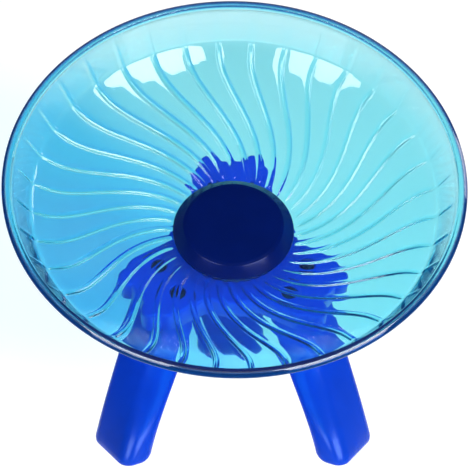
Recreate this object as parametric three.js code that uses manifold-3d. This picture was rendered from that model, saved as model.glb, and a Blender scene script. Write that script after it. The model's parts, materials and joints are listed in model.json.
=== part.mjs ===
// A running saucer for a small pet: a ribbed translucent dish that spins on a tilted ball-bearing hub,
// over a stand of three curved legs. Millimetres, +Z up, the front of the object faces -Y.
import * as THREE from 'three';
import { mergeVertices } from 'three/addons/utils/BufferGeometryUtils.js';
import Module from 'manifold-3d';

const wasm = await Module();
wasm.setup();

// Shared clearances
const seatGap = 0.3;
const cutOverrun = 1;
const weldDistance = 0.00001;

// The dish: radii from its axis, depths below the plane of its rim
const dishTilt = THREE.MathUtils.degToRad(28);
const rimHeight = 112;
const dishRadius = 90;
const dishWall = 2.2;
const lipWidth = 3.8;
const lipThickness = 2.5;
const creaseRadius = 79;
const creaseDepth = 13.9;
const wallTopDepth = 2;
const floorStartSlope = 0.22;
const creaseFilletShare = 1.5;
const lipEaseShare = 0.125;
const lipRootShare = 0.9;
const hubPadRadius = 25;
const hubPadDepth = 36;
const dishHoleRadius = 9;

// The ribs on the dish floor
const ribCount = 36;
const ribHeight = 1.2;
const ribWidth = 3;
const ribPhase = THREE.MathUtils.degToRad(4.1);
const swirlAngle = THREE.MathUtils.degToRad(30);
const swirlInnerRadius = 14;
const swirlOuterRadius = 75;

// The ball bearing
const bearingBore = 8.3;
const bearingOuterDiameter = 22;
const bearingWidth = 7;
const ballCount = 7;
const ballDiameter = 3.97;
const ballCircleDiameter = 15;
const innerShoulderRadius = 6.1;
const outerShoulderRadius = 8.9;
const shieldThickness = 0.4;
const shieldInset = 0.3;
const shieldSeatDepth = 0.6;
const cageThickness = 1.2;
const cageWebHeight = 2.65;
const cageFingerHeight = 1;

// The hub housing under the dish floor
const housingWall = 2.7;
const housingFlangeRadius = 22;
const housingFlangeThickness = 2.5;
const housingLipThickness = 1.2;
const housingLipWidth = 1.2;
const hubBossRadius = 3.2;
const hubBossLength = 5.5;

// The three screws that hold the housing to the dish
const hubScrewCount = 3;
const hubScrewCircleRadius = 17;
const hubScrewRadius = 1.4;
const hubScrewHeadRadius = 2.6;
const hubScrewHeadHeight = 1.6;
const hubScrewLength = 8;
const screwCrownShare = 0.35;

// The cap over the hub
const capRadius = 24;
const capEdgeHeight = 1.2;
const capTopRadius = 19.5;
const capSlopeHeight = 3.6;
const capCrown = 1.4;
const capWall = 1.7;
const capSkirtWall = 0.9;
const capMidRadiusShare = 0.55;
const capMidDropShare = 0.3;

// The axle and what holds it
const axleRadius = 3.85;
const axleTopReach = 2;
const clipThickness = 1;
const clipRadius = 6.8;
const clipMouthShare = 1.6;
const grooveDepth = 0.7;
const axleShoulderRadius = 5.6;
const axleShoulderHeight = 1.8;
const axleFlangeRadius = 9;
const axleFlangeThickness = 2;
const axleThreadRadius = 3;
const axleThreadLength = 9;
const axleWasherRadius = 8;
const axleWasherThickness = 1.6;
const axleNutWidth = 10;
const axleNutThickness = 5;

// The legs
const legCount = 3;
const tripodSetback = 7.4;
const footCircleRadius = 51.4;
const footWidth = 27;
const footThickness = 13;
const legCornerRadius = 4.6;
const soleFillet = 2.4;
const legTopRadius = 30;
const legTopWidth = 27;
const legTopThickness = 20;
const footBend = 17;
const topBend = 20;
const footLeanShare = 0.2;
const topFlareShare = 0.3;
const tenonInset = 0.8;
const soleFilletShares = [0, 0.3, 1];
const legSteps = 9;

// The body of the stand: three hollow arms in a plane parallel to the rim
const bodyDrop = 1.1;
const armSideMargin = 3;
const armEndMargin = 4.5;
const armHalfWidth = legTopWidth / 2 + armSideMargin;
const armReach = legTopRadius + legTopThickness / 2 + armEndMargin;
const armCornerRadius = 9;
const bodyRadius = 27;
const bodyThickness = 11;
const bodyWall = 2.6;
const bodyTopWall = 3;
const earSetback = 1.5;
const earReach = armReach - earSetback;
const earSpread = 9;
const earRadius = 4.6;
const earInsetShare = 0.5;
const axleBossRadius = 12;

// The leg screws
const legScrewSpread = 7.5;
const legScrewRadius = 1.5;
const legScrewHeadRadius = 2.9;
const legScrewHeadHeight = 1.8;
const legScrewLength = 9;

// The foot pads
const footPadWidth = 15;
const footPadThickness = 1.8;
const footPadLength = 5.4;
const footPadCornerRadius = 2;
const footPadProud = 0.4;

// Counts of facets
const finestFacets = 30;
const mediumFacets = 24;
const axleFacets = 18;
const smallFacets = 12;
const ballFacets = 10;
const ballRings = 6;
const arcSteps = 3;
const floorSteps = 5;
const undersideSteps = 3;

// Places along the dish axis, as heights above the rim plane, so all below zero
const hubPadTop = -hubPadDepth;
const hubPadUnderside = hubPadTop - dishWall;
const bearingTop = hubPadUnderside - seatGap;
const bearingMiddle = bearingTop - bearingWidth / 2;
const bearingBottom = bearingTop - bearingWidth;
const housingBottom = bearingBottom - seatGap - housingLipThickness;
const shoulderTop = bearingBottom - seatGap;
const flangeTop = shoulderTop - axleShoulderHeight;
const flangeBottom = flangeTop - axleFlangeThickness;
const bossTop = flangeBottom - seatGap;
const bodyTopHeight = housingBottom - seatGap - bodyDrop;
const bodyBottomHeight = bodyTopHeight - bodyThickness;
const clipBottom = bearingTop + seatGap;
const axleTop = clipBottom + clipThickness + axleTopReach;

const plastics = {
  dish: { color: 0x35b4ea, roughness: 0.12, metalness: 0, transparent: true, opacity: 0.6 },
  navy: { color: 0x0a2a86, roughness: 0.3, metalness: 0 },
  blue: { color: 0x1440d0, roughness: 0.28, metalness: 0 },
  steel: { color: 0xb9bdc2, roughness: 0.3, metalness: 1 },
  cage: { color: 0xc9a463, roughness: 0.4, metalness: 1 },
  rubber: { color: 0x25272b, roughness: 0.85, metalness: 0 },
};

// Helpers for solids

function solid(geometry) {
  const bare = geometry.index ? geometry.toNonIndexed() : geometry.clone();
  bare.deleteAttribute('normal');
  bare.deleteAttribute('uv');
  const welded = mergeVertices(bare, weldDistance);
  return new wasm.Manifold(new wasm.Mesh({
    numProp: 3,
    vertProperties: Float32Array.from(welded.attributes.position.array),
    triVerts: Uint32Array.from(welded.index.array),
  }));
}

function geometryOf(manifold) {
  const mesh = manifold.getMesh();
  const geometry = new THREE.BufferGeometry();
  geometry.setAttribute('position', new THREE.BufferAttribute(Float32Array.from(mesh.vertProperties), 3));
  geometry.setIndex(Array.from(mesh.triVerts));
  geometry.computeVertexNormals();
  return geometry;
}

function piece(name, shape, finish) {
  const geometry = shape instanceof THREE.BufferGeometry ? shape : geometryOf(shape);
  const mesh = new THREE.Mesh(geometry, new THREE.MeshStandardMaterial(plastics[finish]));
  mesh.name = name;
  return mesh;
}

// A solid of revolution about Z from points of radius and height, listed anticlockwise.
function turned(points, facets = mediumFacets) {
  const profile = points.map(([radius, height]) => new THREE.Vector2(radius, height));
  if (points[0][0] > 0) profile.push(profile[0].clone());
  return new THREE.LatheGeometry(profile, facets).rotateX(Math.PI / 2);
}

function ring(innerRadius, outerRadius, bottom, top, facets = mediumFacets) {
  return turned([
    [innerRadius, bottom],
    [outerRadius, bottom],
    [outerRadius, top],
    [innerRadius, top],
  ], facets);
}

function rod(radius, bottom, top, facets = smallFacets) {
  return turned([[0, bottom], [radius, bottom], [radius, top], [0, top]], facets);
}

function placed(geometry, x, y, z = 0) {
  return geometry.clone().translate(x, y, z);
}

function extruded(shape, bottom, top, segments = arcSteps) {
  const settings = { depth: top - bottom, bevelEnabled: false, curveSegments: segments };
  return new THREE.ExtrudeGeometry(shape, settings).translate(0, 0, bottom);
}

function roundedRectangle(width, height, radius) {
  const shape = new THREE.Shape();
  const x = width / 2 - radius;
  const y = height / 2 - radius;
  shape.absarc(x, y, radius, 0, Math.PI / 2);
  shape.absarc(-x, y, radius, Math.PI / 2, Math.PI);
  shape.absarc(-x, -y, radius, Math.PI, 1.5 * Math.PI);
  shape.absarc(x, -y, radius, 1.5 * Math.PI, 2 * Math.PI);
  return shape;
}

// Joins rings of points, each with the same count, into one closed skin with flat ends.
function lofted(rings) {
  const count = rings[0].length;
  const positions = rings.flat().flatMap((point) => point.toArray());
  const index = [];
  for (let level = 0; level < rings.length - 1; level += 1) {
    for (let i = 0; i < count; i += 1) {
      const next = (i + 1) % count;
      const [a, b] = [level * count + i, level * count + next];
      const [c, d] = [a + count, b + count];
      index.push(a, b, d, a, d, c);
    }
  }
  const last = (rings.length - 1) * count;
  for (let i = 1; i < count - 1; i += 1) {
    index.push(0, i + 1, i);
    index.push(last, last + i, last + i + 1);
  }
  const geometry = new THREE.BufferGeometry();
  geometry.setAttribute('position', new THREE.Float32BufferAttribute(positions, 3));
  geometry.setIndex(index);
  return geometry;
}

// The dish

const wallTopRadius = dishRadius - lipWidth;
const halfFloor = (creaseRadius - hubPadRadius) / 2;
const floorCurve = new THREE.QuadraticBezierCurve(
  new THREE.Vector2(hubPadRadius, hubPadTop),
  new THREE.Vector2(hubPadRadius + halfFloor, hubPadTop + floorStartSlope * halfFloor),
  new THREE.Vector2(creaseRadius, -creaseDepth),
);
const wallDirection = new THREE.Vector2(wallTopRadius - creaseRadius, creaseDepth - wallTopDepth).normalize();
const creaseFillet = dishWall * creaseFilletShare;

// The inside of the dish from the hub pad to the lip, as radius and height.
function innerProfile(steps) {
  const floor = floorCurve.getPoints(steps);
  const crease = floor.pop();
  const before = floorCurve.getTangent(1).multiplyScalar(-creaseFillet).add(crease);
  const after = wallDirection.clone().multiplyScalar(creaseFillet).add(crease);
  const bend = new THREE.QuadraticBezierCurve(before, crease, after).getPoints(2);
  const wallTop = new THREE.Vector2(wallTopRadius, -wallTopDepth);
  const ribTop = wallTop.clone().addScaledVector(wallDirection, -ribHeight);
  const lipStart = new THREE.Vector2(wallTopRadius + lipWidth * lipEaseShare, 0);
  return [...floor, ...bend, ribTop, wallTop, lipStart];
}

// The underside follows the inside, one wall lower, from the lip back to the hub pad.
function outerProfile() {
  const inner = innerProfile(undersideSteps).slice(0, -3);
  const lowered = inner.map((point, i) => {
    const before = inner[Math.max(i - 1, 0)];
    const after = inner[Math.min(i + 1, inner.length - 1)];
    const along = after.clone().sub(before).normalize();
    return new THREE.Vector2(point.x + along.y * dishWall, point.y - along.x * dishWall);
  });
  lowered[0].set(hubPadRadius, hubPadUnderside);
  const root = new THREE.Vector2(wallTopRadius + dishWall * lipRootShare, -lipThickness);
  return [...lowered, root].reverse();
}

function swirl(radius) {
  return -swirlAngle * (1 - THREE.MathUtils.smoothstep(radius, swirlInnerRadius, swirlOuterRadius));
}

// How far a rib stands up at a radius: it fades in beyond the hub pad and out at the top of the wall.
function ribRise(radius) {
  const start = THREE.MathUtils.smoothstep(radius, hubPadRadius - ribWidth / 2, hubPadRadius + ribWidth);
  const end = 1 - THREE.MathUtils.smoothstep(radius, wallTopRadius - ribHeight / 2, wallTopRadius);
  return ribHeight * Math.min(start, end);
}

function dishGeometry() {
  const lipRound = lipThickness / 2;
  const top = [new THREE.Vector2(dishHoleRadius, hubPadTop), ...innerProfile(floorSteps)];
  const edge = [
    new THREE.Vector2(dishRadius - lipRound / 2, 0),
    new THREE.Vector2(dishRadius, -lipRound),
    new THREE.Vector2(dishRadius - lipRound / 2, -lipThickness),
  ];
  const bottom = [...outerProfile(), new THREE.Vector2(dishHoleRadius, hubPadUnderside)];
  const profile = [...top, ...edge, ...bottom];
  const shareOfPitch = [-0.5, 0, 0.5];
  const pitch = 2 * Math.PI / ribCount;
  const rings = profile.map((point, level) => {
    const ribbed = level < top.length ? ribRise(point.x) : 0;
    const halfRib = Math.min(ribWidth / 2 / point.x, pitch / 3);
    const turn = ribPhase + swirl(Math.max(point.x, hubPadRadius));
    const points = [];
    for (let rib = 0; rib < ribCount; rib += 1) {
      for (const share of shareOfPitch) {
        const angle = turn + rib * pitch + share * 2 * halfRib;
        const rise = share === 0 ? ribbed : 0;
        points.push(new THREE.Vector3(point.x * Math.cos(angle), point.x * Math.sin(angle), point.y + rise));
      }
    }
    return points;
  });
  return closedRound(rings);
}

// Joins rings that go all the way round a closed profile, the last one back to the first.
function closedRound(rings) {
  const count = rings[0].length;
  const positions = rings.flat().flatMap((point) => point.toArray());
  const index = [];
  rings.forEach((_, level) => {
    const above = (level + 1) % rings.length;
    for (let i = 0; i < count; i += 1) {
      const next = (i + 1) % count;
      const [a, b] = [level * count + i, level * count + next];
      const [c, d] = [above * count + i, above * count + next];
      index.push(a, d, b, a, c, d);
    }
  });
  const geometry = new THREE.BufferGeometry();
  geometry.setAttribute('position', new THREE.Float32BufferAttribute(positions, 3));
  geometry.setIndex(index);
  return geometry;
}

// Angles spread evenly round a circle from a first one.
function anglesAround(count, first) {
  return Array.from({ length: count }, (_, i) => first + i * 2 * Math.PI / count);
}

const hubScrewPlaces = anglesAround(hubScrewCount, Math.PI / 2).map((angle) => [
  hubScrewCircleRadius * Math.cos(angle),
  hubScrewCircleRadius * Math.sin(angle),
]);

function saucerDish() {
  let dish = solid(dishGeometry());
  for (const [x, y] of hubScrewPlaces) {
    const hole = rod(hubScrewRadius + seatGap, hubPadUnderside - cutOverrun, hubPadTop + cutOverrun);
    dish = dish.subtract(solid(placed(hole, x, y)));
  }
  return dish;
}

// The hub

function hubCap() {
  const edgeBottom = hubPadTop + seatGap;
  const edgeTop = edgeBottom + capEdgeHeight;
  const shoulder = edgeTop + capSlopeHeight;
  const crown = shoulder + capCrown;
  const skirtOuter = dishHoleRadius - seatGap;
  const skirtInner = skirtOuter - capSkirtWall;
  const midRadius = capTopRadius * capMidRadiusShare;
  const midDrop = capCrown * capMidDropShare;
  return turned([
    [0, crown - capWall],
    [skirtInner, crown - midDrop - capWall],
    [skirtInner, hubPadUnderside],
    [skirtOuter, hubPadUnderside],
    [skirtOuter, crown - midDrop - capWall],
    [capTopRadius - capWall / 2, shoulder - capWall],
    [capRadius - capWall, edgeTop - capWall / 2],
    [capRadius - capWall, edgeBottom],
    [capRadius, edgeBottom],
    [capRadius, edgeTop],
    [capTopRadius + capWall / 4, shoulder - capWall / 4],
    [capTopRadius - capWall / 2, shoulder + capWall / 8],
    [midRadius, crown - midDrop],
    [0, crown],
  ], finestFacets);
}

function hubHousing() {
  const seatRadius = bearingOuterDiameter / 2 + seatGap;
  const wallRadius = seatRadius + housingWall;
  const flangeUnderside = bearingTop - housingFlangeThickness;
  const lipRadius = seatRadius - housingLipWidth;
  let housing = solid(turned([
    [lipRadius, housingBottom],
    [wallRadius, housingBottom],
    [wallRadius, flangeUnderside],
    [housingFlangeRadius, flangeUnderside],
    [housingFlangeRadius, bearingTop],
    [seatRadius, bearingTop],
    [seatRadius, housingBottom + housingLipThickness],
    [lipRadius, housingBottom + housingLipThickness],
  ]));
  for (const [x, y] of hubScrewPlaces) {
    const boss = rod(hubBossRadius, bearingTop - hubBossLength, bearingTop - seatGap);
    housing = housing.add(solid(placed(boss, x, y)));
  }
  for (const [x, y] of hubScrewPlaces) {
    const pilot = rod(hubScrewRadius + seatGap, hubPadTop - hubScrewLength - seatGap, hubPadTop);
    housing = housing.subtract(solid(placed(pilot, x, y)));
  }
  return housing;
}

function panScrew(radius, headRadius, headHeight, length) {
  const crown = headHeight * screwCrownShare;
  return turned([
    [0, -length],
    [radius, -length + radius],
    [radius, 0],
    [headRadius, 0],
    [headRadius, headHeight - crown],
    [0, headHeight],
  ], smallFacets);
}

// The bearing, round the middle of its width

function grooveArc(shoulderRadius, facing) {
  const grooveRadius = ballDiameter / 2 + seatGap;
  const reach = Math.abs(shoulderRadius - ballCircleDiameter / 2);
  const halfHeight = Math.sqrt(grooveRadius ** 2 - reach ** 2);
  const start = Math.atan2(halfHeight, reach);
  return Array.from({ length: arcSteps + 1 }, (_, i) => {
    const angle = start - 2 * start * i / arcSteps;
    return [ballCircleDiameter / 2 + facing * grooveRadius * Math.cos(angle), grooveRadius * Math.sin(angle)];
  });
}

const halfBearing = bearingWidth / 2;

function outerRace() {
  const shieldSeatRadius = outerShoulderRadius + shieldSeatDepth;
  const shieldStep = halfBearing - shieldInset - shieldThickness - seatGap;
  const outer = bearingOuterDiameter / 2;
  return turned([
    [shieldSeatRadius, -halfBearing],
    [outer, -halfBearing],
    [outer, halfBearing],
    [shieldSeatRadius, halfBearing],
    [shieldSeatRadius, shieldStep],
    [outerShoulderRadius, shieldStep],
    ...grooveArc(outerShoulderRadius, 1),
    [outerShoulderRadius, -shieldStep],
    [shieldSeatRadius, -shieldStep],
  ]);
}

function innerRace() {
  const groove = grooveArc(innerShoulderRadius, -1).reverse();
  return turned([
    [bearingBore / 2, -halfBearing],
    [innerShoulderRadius, -halfBearing],
    ...groove,
    [innerShoulderRadius, halfBearing],
    [bearingBore / 2, halfBearing],
  ]);
}

const ballAngles = anglesAround(ballCount, 0);

function bearingCage() {
  const middle = ballCircleDiameter / 2;
  const inner = middle - cageThickness / 2;
  const outer = middle + cageThickness / 2;
  let cage = solid(ring(inner, outer, -cageWebHeight, cageFingerHeight));
  const pocket = new THREE.SphereGeometry(ballDiameter / 2 + seatGap, ballFacets, ballRings);
  for (const angle of ballAngles) {
    cage = cage.subtract(solid(placed(pocket, middle * Math.cos(angle), middle * Math.sin(angle))));
  }
  return cage;
}

function shield() {
  const inner = innerShoulderRadius + seatGap;
  const outer = outerShoulderRadius + shieldSeatDepth - seatGap;
  return ring(inner, outer, 0, shieldThickness);
}

// The axle, its clip, washer and nut

const spigotBottom = bodyBottomHeight + seatGap;
const clipHoleRadius = axleRadius - grooveDepth + seatGap;

function axle() {
  const groove = axleRadius - grooveDepth;
  return turned([
    [0, spigotBottom - axleThreadLength],
    [axleThreadRadius, spigotBottom - axleThreadLength],
    [axleThreadRadius, spigotBottom],
    [axleRadius, spigotBottom],
    [axleRadius, flangeBottom],
    [axleFlangeRadius, flangeBottom],
    [axleFlangeRadius, flangeTop],
    [axleShoulderRadius, flangeTop],
    [axleShoulderRadius, shoulderTop],
    [axleRadius, shoulderTop],
    [axleRadius, clipBottom - seatGap],
    [groove, clipBottom - seatGap],
    [groove, clipBottom + clipThickness + seatGap],
    [axleRadius, clipBottom + clipThickness + seatGap],
    [axleRadius, axleTop - grooveDepth],
    [axleRadius - grooveDepth, axleTop],
    [0, axleTop],
  ], axleFacets);
}

// A spring clip: a flat ring with a mouth on one side, wide enough to push on over the groove.
function retainingClip() {
  const clip = solid(ring(clipHoleRadius, clipRadius, clipBottom, clipBottom + clipThickness));
  const mouthWidth = clipMouthShare * clipHoleRadius;
  const mouth = new THREE.BoxGeometry(mouthWidth, clipRadius + cutOverrun, clipThickness + 2 * cutOverrun);
  mouth.translate(0, (clipRadius + cutOverrun) / 2, clipBottom + clipThickness / 2);
  return clip.subtract(solid(mouth));
}

const washerTop = bodyBottomHeight - seatGap;
const nutTop = washerTop - axleWasherThickness - seatGap;

function axleWasher() {
  return ring(axleThreadRadius + seatGap, axleWasherRadius, washerTop - axleWasherThickness, washerTop);
}

function axleNut() {
  const hexagon = new THREE.Shape();
  const corner = axleNutWidth / Math.sqrt(3);
  for (let i = 0; i < 6; i += 1) {
    const angle = i * Math.PI / 3;
    const point = [corner * Math.cos(angle), corner * Math.sin(angle)];
    if (i === 0) hexagon.moveTo(...point);
    else hexagon.lineTo(...point);
  }
  const bore = new THREE.Path();
  bore.absarc(0, 0, axleThreadRadius + seatGap, 0, 2 * Math.PI, true);
  hexagon.holes.push(bore);
  return extruded(hexagon, nutTop - axleNutThickness, nutTop, smallFacets / 2);
}

// The stand's body. An arm points along an angle in the plane of the body; the first is the rear one.

const armAngles = anglesAround(legCount, Math.PI / 2);
const legNames = ['rear_leg', 'front_left_leg', 'front_right_leg'];
const sideNames = ['left', 'right'];

// One arm along +X, with its two ears, drawn in by an inset.
function armSolids(inset, bottom, top) {
  const arm = roundedRectangle(
    armReach + armCornerRadius - 2 * inset,
    2 * (armHalfWidth - inset),
    armCornerRadius,
  );
  const slab = extruded(arm, bottom, top);
  slab.translate((armReach - armCornerRadius) / 2, 0, 0);
  const parts = [slab];
  for (const side of [-1, 1]) {
    const ear = rod(earRadius - inset * earInsetShare, bottom, top);
    parts.push(placed(ear, earReach - inset, side * earSpread));
  }
  return parts;
}

function bodyShape(inset, bottom, top) {
  let shape = solid(rod(bodyRadius - inset, bottom, top, finestFacets));
  for (const angle of armAngles) {
    for (const part of armSolids(inset, bottom, top)) shape = shape.add(solid(part.rotateZ(angle)));
  }
  return shape;
}

function standBody() {
  let body = bodyShape(0, bodyBottomHeight, bodyTopHeight);
  body = body.subtract(bodyShape(bodyWall, bodyBottomHeight - cutOverrun, bodyTopHeight - bodyTopWall));
  body = body.add(solid(rod(axleBossRadius, bodyBottomHeight, bodyTopHeight, mediumFacets)));
  const flangePocket = rod(axleFlangeRadius + seatGap, bossTop, bodyTopHeight + cutOverrun, mediumFacets);
  const bore = rod(axleRadius + seatGap, bodyBottomHeight - cutOverrun, bodyTopHeight, mediumFacets);
  body = body.subtract(solid(flangePocket)).subtract(solid(bore));
  for (const [x, y] of legScrewPlaces()) {
    const clear = rod(legScrewRadius + seatGap, bodyBottomHeight, bodyTopHeight + cutOverrun);
    const sink = rod(legScrewHeadRadius + seatGap, screwSeatHeight, bodyTopHeight + cutOverrun);
    body = body.subtract(solid(placed(clear, x, y))).subtract(solid(placed(sink, x, y)));
  }
  return body;
}

const screwSeatHeight = bodyTopHeight - legScrewHeadHeight - seatGap;

function armPoint(angle, along, across) {
  return [
    along * Math.cos(angle) - across * Math.sin(angle),
    along * Math.sin(angle) + across * Math.cos(angle),
  ];
}

function legScrewPlaces() {
  return armAngles.flatMap((angle) => [
    armPoint(angle, legTopRadius, legScrewSpread),
    armPoint(angle, legTopRadius, -legScrewSpread),
  ]);
}

// The legs. Each is lofted from its sole, level on the ground, to its top, parallel to the rim.

const tiltFrame = new THREE.Matrix4()
  .makeRotationX(dishTilt)
  .setPosition(0, 0, rimHeight);

function tilted(x, y, z) {
  return new THREE.Vector3(x, y, z).applyMatrix4(tiltFrame);
}

function outlinePoints(width, thickness, radius) {
  const points = roundedRectangle(width, thickness, radius).getPoints(arcSteps);
  const first = points[0];
  return points.filter((point, i) => i === 0 || point.distanceTo(first) > radius / 100)
    .filter((point, i, all) => i === 0 || point.distanceTo(all[i - 1]) > radius / 100);
}

function legFrame(angle) {
  const foot = new THREE.Vector3(
    footCircleRadius * Math.cos(angle),
    tripodSetback + footCircleRadius * Math.sin(angle),
    0,
  );
  const [topX, topY] = armPoint(angle, legTopRadius, 0);
  const top = tilted(topX, topY, bodyBottomHeight);
  const axis = tilted(0, 0, 1).sub(tilted(0, 0, 0));
  const along = new THREE.Vector3(Math.cos(angle), Math.sin(angle), 0);
  const across = new THREE.Vector3(-Math.sin(angle), Math.cos(angle), 0);
  const topAlong = tilted(along.x, along.y, 0).sub(tilted(0, 0, 0));
  const topAcross = tilted(across.x, across.y, 0).sub(tilted(0, 0, 0));
  return { foot, top, axis, along, across, topAlong, topAcross };
}

function legRings(angle) {
  const frame = legFrame(angle);
  const lean = frame.top.clone().sub(frame.foot).setZ(0);
  const up = new THREE.Vector3(0, 0, 1);
  const centreLine = new THREE.CubicBezierCurve3(
    frame.foot,
    frame.foot.clone().addScaledVector(up, footBend).addScaledVector(lean, footLeanShare),
    frame.top.clone().addScaledVector(up, -topBend).addScaledVector(frame.topAlong, topBend * topFlareShare),
    frame.top.clone().addScaledVector(frame.axis, -seatGap),
  );
  const rings = [];
  for (const share of soleFilletShares) {
    const inset = soleFillet * (1 - Math.sqrt(1 - (1 - share) ** 2));
    rings.push(legRing(frame, frame.foot.clone().setZ(soleFillet * share), 0, 0, inset));
  }
  for (let step = 1; step <= legSteps; step += 1) {
    const share = step / legSteps;
    rings.push(legRing(frame, centreLine.getPoint(share), share, THREE.MathUtils.smoothstep(share, 0, 1), 0));
  }
  return rings;
}

function legRing(frame, centre, share, turn, inset) {
  const width = THREE.MathUtils.lerp(footWidth, legTopWidth, share) - 2 * inset;
  const thickness = THREE.MathUtils.lerp(footThickness, legTopThickness, share * share) - 2 * inset;
  const along = frame.along.clone().lerp(frame.topAlong, turn).normalize();
  const across = frame.across.clone().lerp(frame.topAcross, turn).normalize();
  const outline = outlinePoints(thickness, width, Math.max(legCornerRadius - inset, legCornerRadius / 4));
  return outline.map((point) => centre.clone()
    .addScaledVector(along, point.x)
    .addScaledVector(across, point.y));
}

function leg(angle) {
  const frame = legFrame(angle);
  let shape = solid(lofted(legRings(angle)));
  const tenonOutline = roundedRectangle(
    legTopThickness - 2 * tenonInset,
    legTopWidth - 2 * tenonInset,
    legCornerRadius,
  );
  const tenonTop = bodyTopHeight - bodyTopWall - seatGap;
  const tenon = extruded(tenonOutline, bodyBottomHeight - seatGap - legCornerRadius, tenonTop);
  tenon.translate(legTopRadius, 0, 0).rotateZ(angle).applyMatrix4(tiltFrame);
  shape = shape.add(solid(tenon));
  for (const side of [1, -1]) {
    const [x, y] = armPoint(angle, legTopRadius, side * legScrewSpread);
    const pilot = rod(legScrewRadius + seatGap, screwSeatHeight - legScrewLength - seatGap, bodyTopHeight);
    shape = shape.subtract(solid(placed(pilot, x, y).applyMatrix4(tiltFrame)));
  }
  const socketOutline = roundedRectangle(footPadLength, footPadWidth, footPadCornerRadius);
  const socket = extruded(socketOutline, -cutOverrun, footPadThickness);
  socket.rotateZ(angle).translate(frame.foot.x, frame.foot.y, 0);
  return shape.subtract(solid(socket));
}

// The pads fill the sockets in the soles and stand a little proud of them, so the pads meet the ground.
function footPad(angle) {
  const { foot } = legFrame(angle);
  const outline = roundedRectangle(
    footPadLength - 2 * seatGap,
    footPadWidth - 2 * seatGap,
    footPadCornerRadius - seatGap,
  );
  const pad = extruded(outline, -footPadProud, footPadThickness - seatGap);
  return pad.rotateZ(angle).translate(foot.x, foot.y, 0);
}

// The assembly

const saucer = new THREE.Group();
const spindle = new THREE.Group();
spindle.rotation.x = dishTilt;
spindle.position.z = rimHeight;
saucer.add(spindle);

spindle.add(piece('saucer_dish', saucerDish(), 'dish'));
spindle.add(piece('hub_cap', hubCap(), 'navy'));
spindle.add(piece('hub_housing', hubHousing(), 'navy'));
hubScrewPlaces.forEach(([x, y], i) => {
  const screw = piece(
    `hub_screw_${i + 1}`,
    panScrew(hubScrewRadius, hubScrewHeadRadius, hubScrewHeadHeight, hubScrewLength),
    'steel',
  );
  screw.position.set(x, y, hubPadTop + seatGap);
  spindle.add(screw);
});

const bearing = new THREE.Group();
bearing.position.z = bearingMiddle;
spindle.add(bearing);
bearing.add(piece('bearing_outer_race', outerRace(), 'steel'));
bearing.add(piece('bearing_inner_race', innerRace(), 'steel'));
bearing.add(piece('bearing_cage', bearingCage(), 'cage'));
ballAngles.forEach((angle, i) => {
  const ball = piece(
    `bearing_ball_${i + 1}`,
    new THREE.SphereGeometry(ballDiameter / 2, ballFacets, ballRings),
    'steel',
  );
  ball.position.set(Math.cos(angle), Math.sin(angle), 0).multiplyScalar(ballCircleDiameter / 2);
  bearing.add(ball);
});
const upperShield = piece('bearing_upper_shield', shield(), 'steel');
upperShield.position.z = halfBearing - shieldInset - shieldThickness;
const lowerShield = piece('bearing_lower_shield', shield(), 'steel');
lowerShield.position.z = -halfBearing + shieldInset;
bearing.add(upperShield, lowerShield);

spindle.add(piece('axle', axle(), 'steel'));
spindle.add(piece('retaining_clip', retainingClip(), 'steel'));
spindle.add(piece('axle_washer', axleWasher(), 'steel'));
spindle.add(piece('axle_nut', axleNut(), 'steel'));
spindle.add(piece('stand_body', standBody(), 'blue'));

armAngles.forEach((angle, i) => {
  const name = legNames[i];
  saucer.add(piece(name, leg(angle), 'blue'));
  saucer.add(piece(name.replace('leg', 'foot_pad'), footPad(angle), 'rubber'));
  sideNames.forEach((side, j) => {
    const [x, y] = armPoint(angle, legTopRadius, (j === 0 ? 1 : -1) * legScrewSpread);
    const screw = piece(
      `${name}_screw_${side}`,
      panScrew(legScrewRadius, legScrewHeadRadius, legScrewHeadHeight, legScrewLength),
      'steel',
    );
    screw.position.set(x, y, screwSeatHeight + seatGap);
    spindle.add(screw);
  });
});

// The origin goes to the middle of the object's outline, on the ground.
const extent = new THREE.Box3().setFromObject(saucer, true);
saucer.position.set(0, -(extent.min.y + extent.max.y) / 2, -extent.min.z);

export default saucer;
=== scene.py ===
"""A running saucer for small pets: a ribbed see-through dish on a tilted ball bearing, over a three-legged stand.

Sizes in the settings are in metres. Inside the makers, shapes are drawn in millimetres in the frame of the dish or of
the ground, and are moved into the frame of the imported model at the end.
"""

import json
from math import atan, atan2, copysign, cos, exp, log, pi, radians, sin, sqrt, tan

import bmesh
import bpy
from bpy.props import FloatProperty, FloatVectorProperty, IntProperty, PointerProperty
from mathutils import Matrix, Vector

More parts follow.
